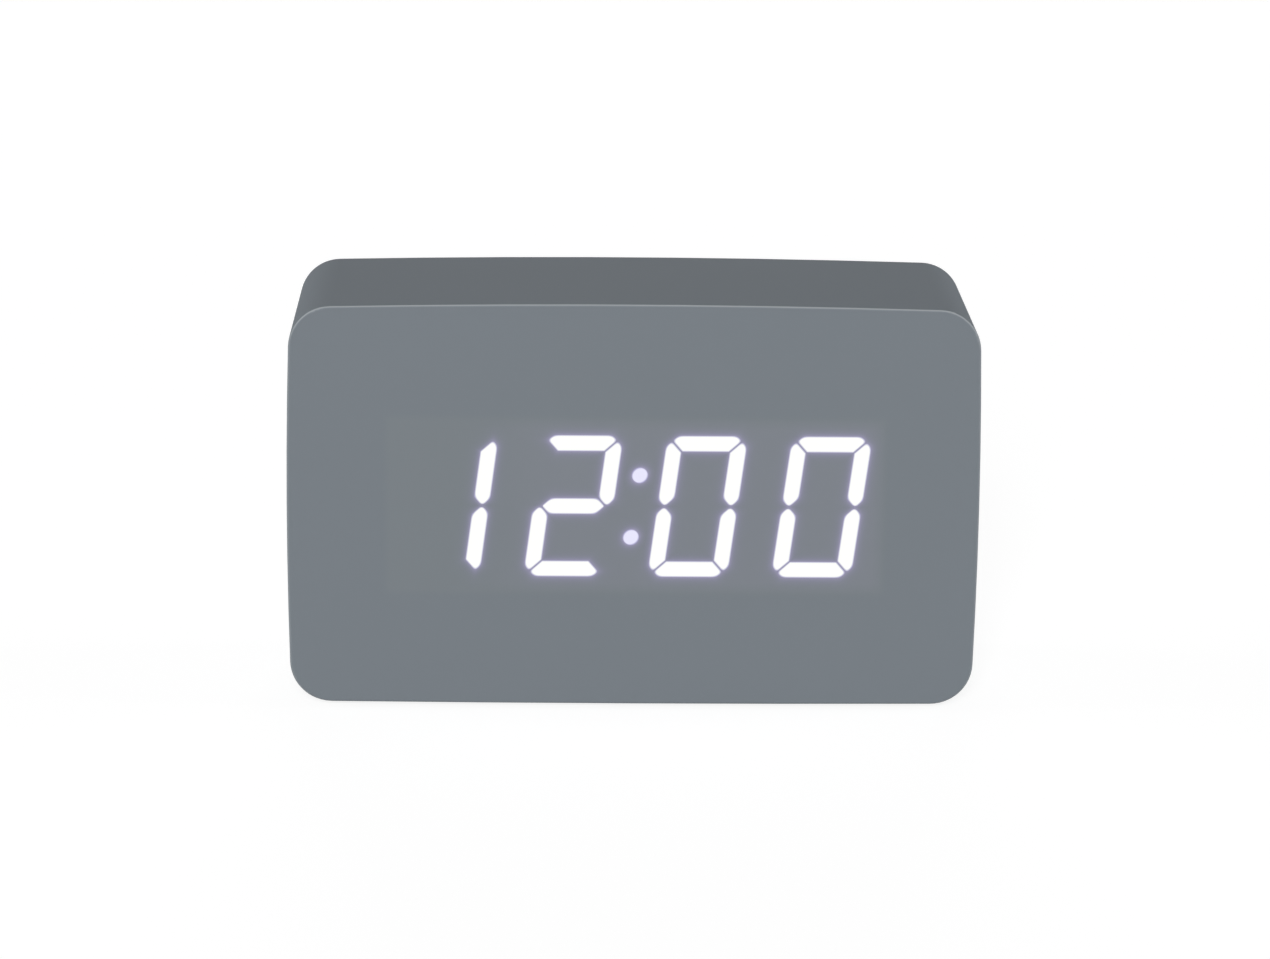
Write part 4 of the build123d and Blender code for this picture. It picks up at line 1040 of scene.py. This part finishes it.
def placeShapes(tree, start, end, shape):
    # the shape on every point, spun by the point's own angle, then laid on the surface that carries it
    spin = addNode(tree, "GeometryNodeInputNamedAttribute", data_type="FLOAT")
    spin.inputs["Name"].default_value = "spin"
    scatter = addNode(tree, "GeometryNodeInstanceOnPoints")
    tree.links.new(start.outputs["Points"], scatter.inputs["Points"])
    tree.links.new(shape, scatter.inputs["Instance"])
    feed(tree, scatter.inputs["Rotation"], triple(tree, z=spin.outputs[0]))
    turn = triple(tree, x=start.outputs["Turn"])
    laid = moved(tree, scatter.outputs["Instances"], start.outputs["Shift"], turn)
    realize = addNode(tree, "GeometryNodeRealizeInstances")
    tree.links.new(laid, realize.inputs["Geometry"])
    finish = addNode(tree, "GeometryNodeSetMaterial")
    tree.links.new(realize.outputs["Geometry"], finish.inputs["Geometry"])
    tree.links.new(start.outputs["Finish"], finish.inputs["Material"])
    tree.links.new(finish.outputs["Geometry"], end.inputs[0])


def makeLegTree():
    # a bent leg: out from the body, down, and along the board
    sizes = {"Reach": 0.001, "Rise": 0.001, "Width": 0.0004, "Thickness": 0.00015}
    tree, start, end = newShapeTree("bentLeg", sizes)
    reach, rise, thickness = [start.outputs[label] for label in ("Reach", "Rise", "Thickness")]
    low = calc(tree, "MULTIPLY", thickness, 0.5)
    path = {  # share of the reach, height
        "Start": (-0.15, rise),
        "Start Handle": (0.7, rise),
        "End Handle": (0.1, low),
        "End": (1.0, low),
    }
    bend = addNode(tree, "GeometryNodeCurvePrimitiveBezierSegment")
    bend.inputs["Resolution"].default_value = 8
    for label, (share, height) in path.items():
        feed(tree, bend.inputs[label], triple(tree, x=calc(tree, "MULTIPLY", reach, share), z=height))
    upward = addNode(tree, "GeometryNodeSetCurveNormal", mode="Z_UP")
    tree.links.new(bend.outputs["Curve"], upward.inputs["Curve"])
    section = addNode(tree, "GeometryNodeCurvePrimitiveQuadrilateral")
    feed(tree, section.inputs["Width"], start.outputs["Width"])
    feed(tree, section.inputs["Height"], thickness)
    sweep = addNode(tree, "GeometryNodeCurveToMesh")
    tree.links.new(upward.outputs["Curve"], sweep.inputs["Curve"])
    tree.links.new(section.outputs["Curve"], sweep.inputs["Profile Curve"])
    sweep.inputs["Fill Caps"].default_value = True
    placeShapes(tree, start, end, sweep.outputs["Mesh"])
    return tree


def makeJointTree():
    # a solder cone with the tip of its pin
    sizes = {"Radius": 0.0008, "Height": 0.0007, "Pin Radius": 0.0003, "Pin Height": 0.0011}
    tree, start, end = newShapeTree("solderJoint", sizes)
    radius, height, pinRadius, pinHeight = [start.outputs[label] for label in sizes]
    cone = addNode(tree, "GeometryNodeMeshCone")
    cone.inputs["Vertices"].default_value = 16
    feed(tree, cone.inputs["Radius Bottom"], radius)
    feed(tree, cone.inputs["Radius Top"], pinRadius)
    feed(tree, cone.inputs["Depth"], height)
    pin = addNode(tree, "GeometryNodeMeshCylinder")
    pin.inputs["Vertices"].default_value = 12
    feed(tree, pin.inputs["Radius"], pinRadius)
    feed(tree, pin.inputs["Depth"], pinHeight)
    both = addNode(tree, "GeometryNodeJoinGeometry")
    tree.links.new(cone.outputs["Mesh"], both.inputs[0])
    tree.links.new(raised(tree, pin.outputs["Mesh"], pinHeight), both.inputs[0])
    placeShapes(tree, start, end, both.outputs[0])
    return tree


def makePadTree():
    # a plated end or strip
    sizes = {"Length": 0.001, "Width": 0.0005, "Height": 0.0001}
    tree, start, end = newShapeTree("platedPad", sizes)
    length, width, height = [start.outputs[label] for label in sizes]
    box = addNode(tree, "GeometryNodeMeshCube")
    feed(tree, box.inputs["Size"], triple(tree, length, width, height))
    placeShapes(tree, start, end, raised(tree, box.outputs["Mesh"], height))
    return tree


facings = {  # the way a surface faces: its turn about X, the sign of the second coordinate, and its own axis
    "front": (90, 1, 1),
    "back": (-90, -1, 1),
    "up": (0, 1, 2),
    "down": (180, -1, 2),
}


def growShapes(name, tree, facing, level, points, sizes, finish, slot=None):
    # points are (x, second coordinate, spin) in mm and degrees; the result is one plain mesh on the case
    turn, sign, axis = facings[facing]
    mesh = bpy.data.meshes.new(name + "Points")
    mesh.from_pydata([(x * mm, sign * other * mm, 0) for x, other, spin in points], [], [])
    spins = mesh.attributes.new("spin", "FLOAT", "POINT")
    spins.data.foreach_set("value", [sign * math.radians(spin) for x, other, spin in points])
    piece = bpy.data.objects.new(name, mesh)
    bpy.context.scene.collection.objects.link(piece)
    modifier = piece.modifiers.new("shapes", "NODES")
    modifier.node_group = tree
    shift = [0.0, 0.0, 0.0]
    shift[axis] = level * mm
    values = {"Turn": math.radians(turn), "Shift": shift, "Finish": finish}
    values.update({label: value * mm for label, value in sizes.items()})
    for item in tree.interface.items_tree:
        if item.in_out == "INPUT" and item.name in values:
            modifier[item.identifier] = values[item.name]
    evaluated = piece.evaluated_get(bpy.context.evaluated_depsgraph_get())
    result = bpy.data.meshes.new_from_object(evaluated)
    piece.modifiers.clear()
    piece.data = result
    bpy.data.meshes.remove(mesh)
    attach(piece, "case")
    print(name, len(result.polygons), "faces")


def boxInMm(node):
    low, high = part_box(node)
    return low / mm, high / mm, (low + high) / 2 / mm


def row(count, pitch, middle=0.0):
    return [middle + (n - (count - 1) / 2) * pitch for n in range(count)]


legTree, jointTree, padTree = makeLegTree(), makeJointTree(), makePadTree()
solder = (finishes["solderTin"], "contact_nickel")  # the finish, and a slot name that goes with it
boardFront, boardBack = [corner.y for corner in boxInMm("main_board")[:2]]


# legs of the chips, the key switches and the slide switch

driverLegs = {"Reach": 1.1, "Rise": 1.1, "Width": 0.42, "Thickness": 0.2}
controllerLegs = {"Reach": 0.9, "Rise": 0.75, "Width": 0.34, "Thickness": 0.14}
switchLegs = {"Reach": 1.2, "Rise": 0.9, "Width": 0.7, "Thickness": 0.2}
legRows = {"driver": (12, 1.27), "controller": (11, 0.8), "slide": (3, 2.0), "key": (2, 4.4)}  # count, pitch
keyLegsApart = 6.0  # from one side of a key switch to the other


def chipLegPlaces(low, high, middle, legRow, allRound=False):
    places = [(x, z, spin) for x in row(*legRow, middle.x) for z, spin in ((high.z, 90), (low.z, -90))]
    if allRound:
        places += [(x, z, spin) for z in row(*legRow, middle.z) for x, spin in ((high.x, 0), (low.x, 180))]
    return places


low, high, middle = boxInMm("display_driver_chip")
places = chipLegPlaces(low, high, middle, legRows["driver"])
growShapes("driver_chip_legs", legTree, "back", low.y, places, driverLegs, *solder)

low, high, middle = boxInMm("controller_chip")
places = chipLegPlaces(low, high, middle, legRows["controller"], allRound=True)
growShapes("controller_chip_legs", legTree, "front", high.y, places, controllerLegs, *solder)

places = []
for key in ("alarm", "time", "plus", "minus"):
    middle = boxInMm(key + "_key_plunger")[2]
    for z in row(*legRows["key"], middle.z):
        places += [(middle.x + keyLegsApart / 2, z, 0), (middle.x - keyLegsApart / 2, z, 180)]
low, high, middle = boxInMm("slide_switch_base")
places += [(x, low.z, -90) for x in row(*legRows["slide"], middle.x)]
growShapes("switch_legs", legTree, "back", boardBack, places, switchLegs, *solder)


# solder joints of what passes through the main board

jointSizes = {"Radius": 0.75, "Height": 0.55, "Pin Radius": 0.3, "Pin Height": 0.95}
jointValues = {
    "headerRow": (10, 1.4),  # count and pitch; every other pin stands in a second row
    "headerRowsApart": 2.0,
    "pairRow": (2, 2.5),
    "socketInset": (0.9, 0.8),  # the shell's tabs, from its sides and from its top and bottom
}

middle = boxInMm("main_board_header")[2]
lower, upper = row(2, jointValues["headerRowsApart"], middle.z)
places = [(x, upper if n % 2 else lower, 0) for n, x in enumerate(row(*jointValues["headerRow"], middle.x))]
for node in ("battery_lead_header", "smoothing_capacitor"):
    middle = boxInMm(node)[2]
    places += [(x, middle.z, 0) for x in row(*jointValues["pairRow"], middle.x)]
growShapes("rear_solder_joints", jointTree, "back", boardBack, places, jointSizes, *solder)

low, high, middle = boxInMm("power_socket_shell")
insetX, insetZ = jointValues["socketInset"]
places = [(x, z, 0) for x in (low.x + insetX, high.x - insetX) for z in (low.z + insetZ, high.z - insetZ)]
growShapes("socket_solder_joints", jointTree, "front", boardFront, places, jointSizes, *solder)


# plated ends of the resistors

resistorValues = {"length": 1.6, "width": 0.8, "columns": 4, "rows": 3, "endLength": 0.34, "proud": 0.03}


def growResistorEnds(values):
    low, high, middle = boxInMm("board_resistors")
    pitchX = (high.x - low.x - values["length"]) / (values["columns"] - 1)
    pitchZ = (high.z - low.z - values["width"]) / (values["rows"] - 1)
    reach = (values["length"] - values["endLength"]) / 2 + values["proud"]
    places = []
    for x in row(values["columns"], pitchX, middle.x):
        for z in row(values["rows"], pitchZ, middle.z):
            places += [(x - reach, z, 0), (x + reach, z, 0)]
    sizes = {
        "Length": values["endLength"],
        "Width": values["width"] + 2 * values["proud"],
        "Height": high.y - low.y + values["proud"],
    }
    growShapes("resistor_ends", padTree, "front", high.y, places, sizes, *solder)


growResistorEnds(resistorValues)


# gold fingers on both sides of the socket's tongue

fingerValues = {"count": 12, "pitch": 0.5, "fromTip": 0.5}
fingerSizes = {"Length": 0.26, "Width": 4.2, "Height": 0.04}
low, high, middle = boxInMm("power_socket_tongue")
y = high.y - fingerValues["fromTip"] - fingerSizes["Width"] / 2
places = [(x, y, 0) for x in row(fingerValues["count"], fingerValues["pitch"], middle.x)]
growShapes("socket_fingers_upper", padTree, "up", high.z, places, fingerSizes, finishes["goldPlate"])
growShapes("socket_fingers_lower", padTree, "down", low.z, places, fingerSizes, finishes["goldPlate"])
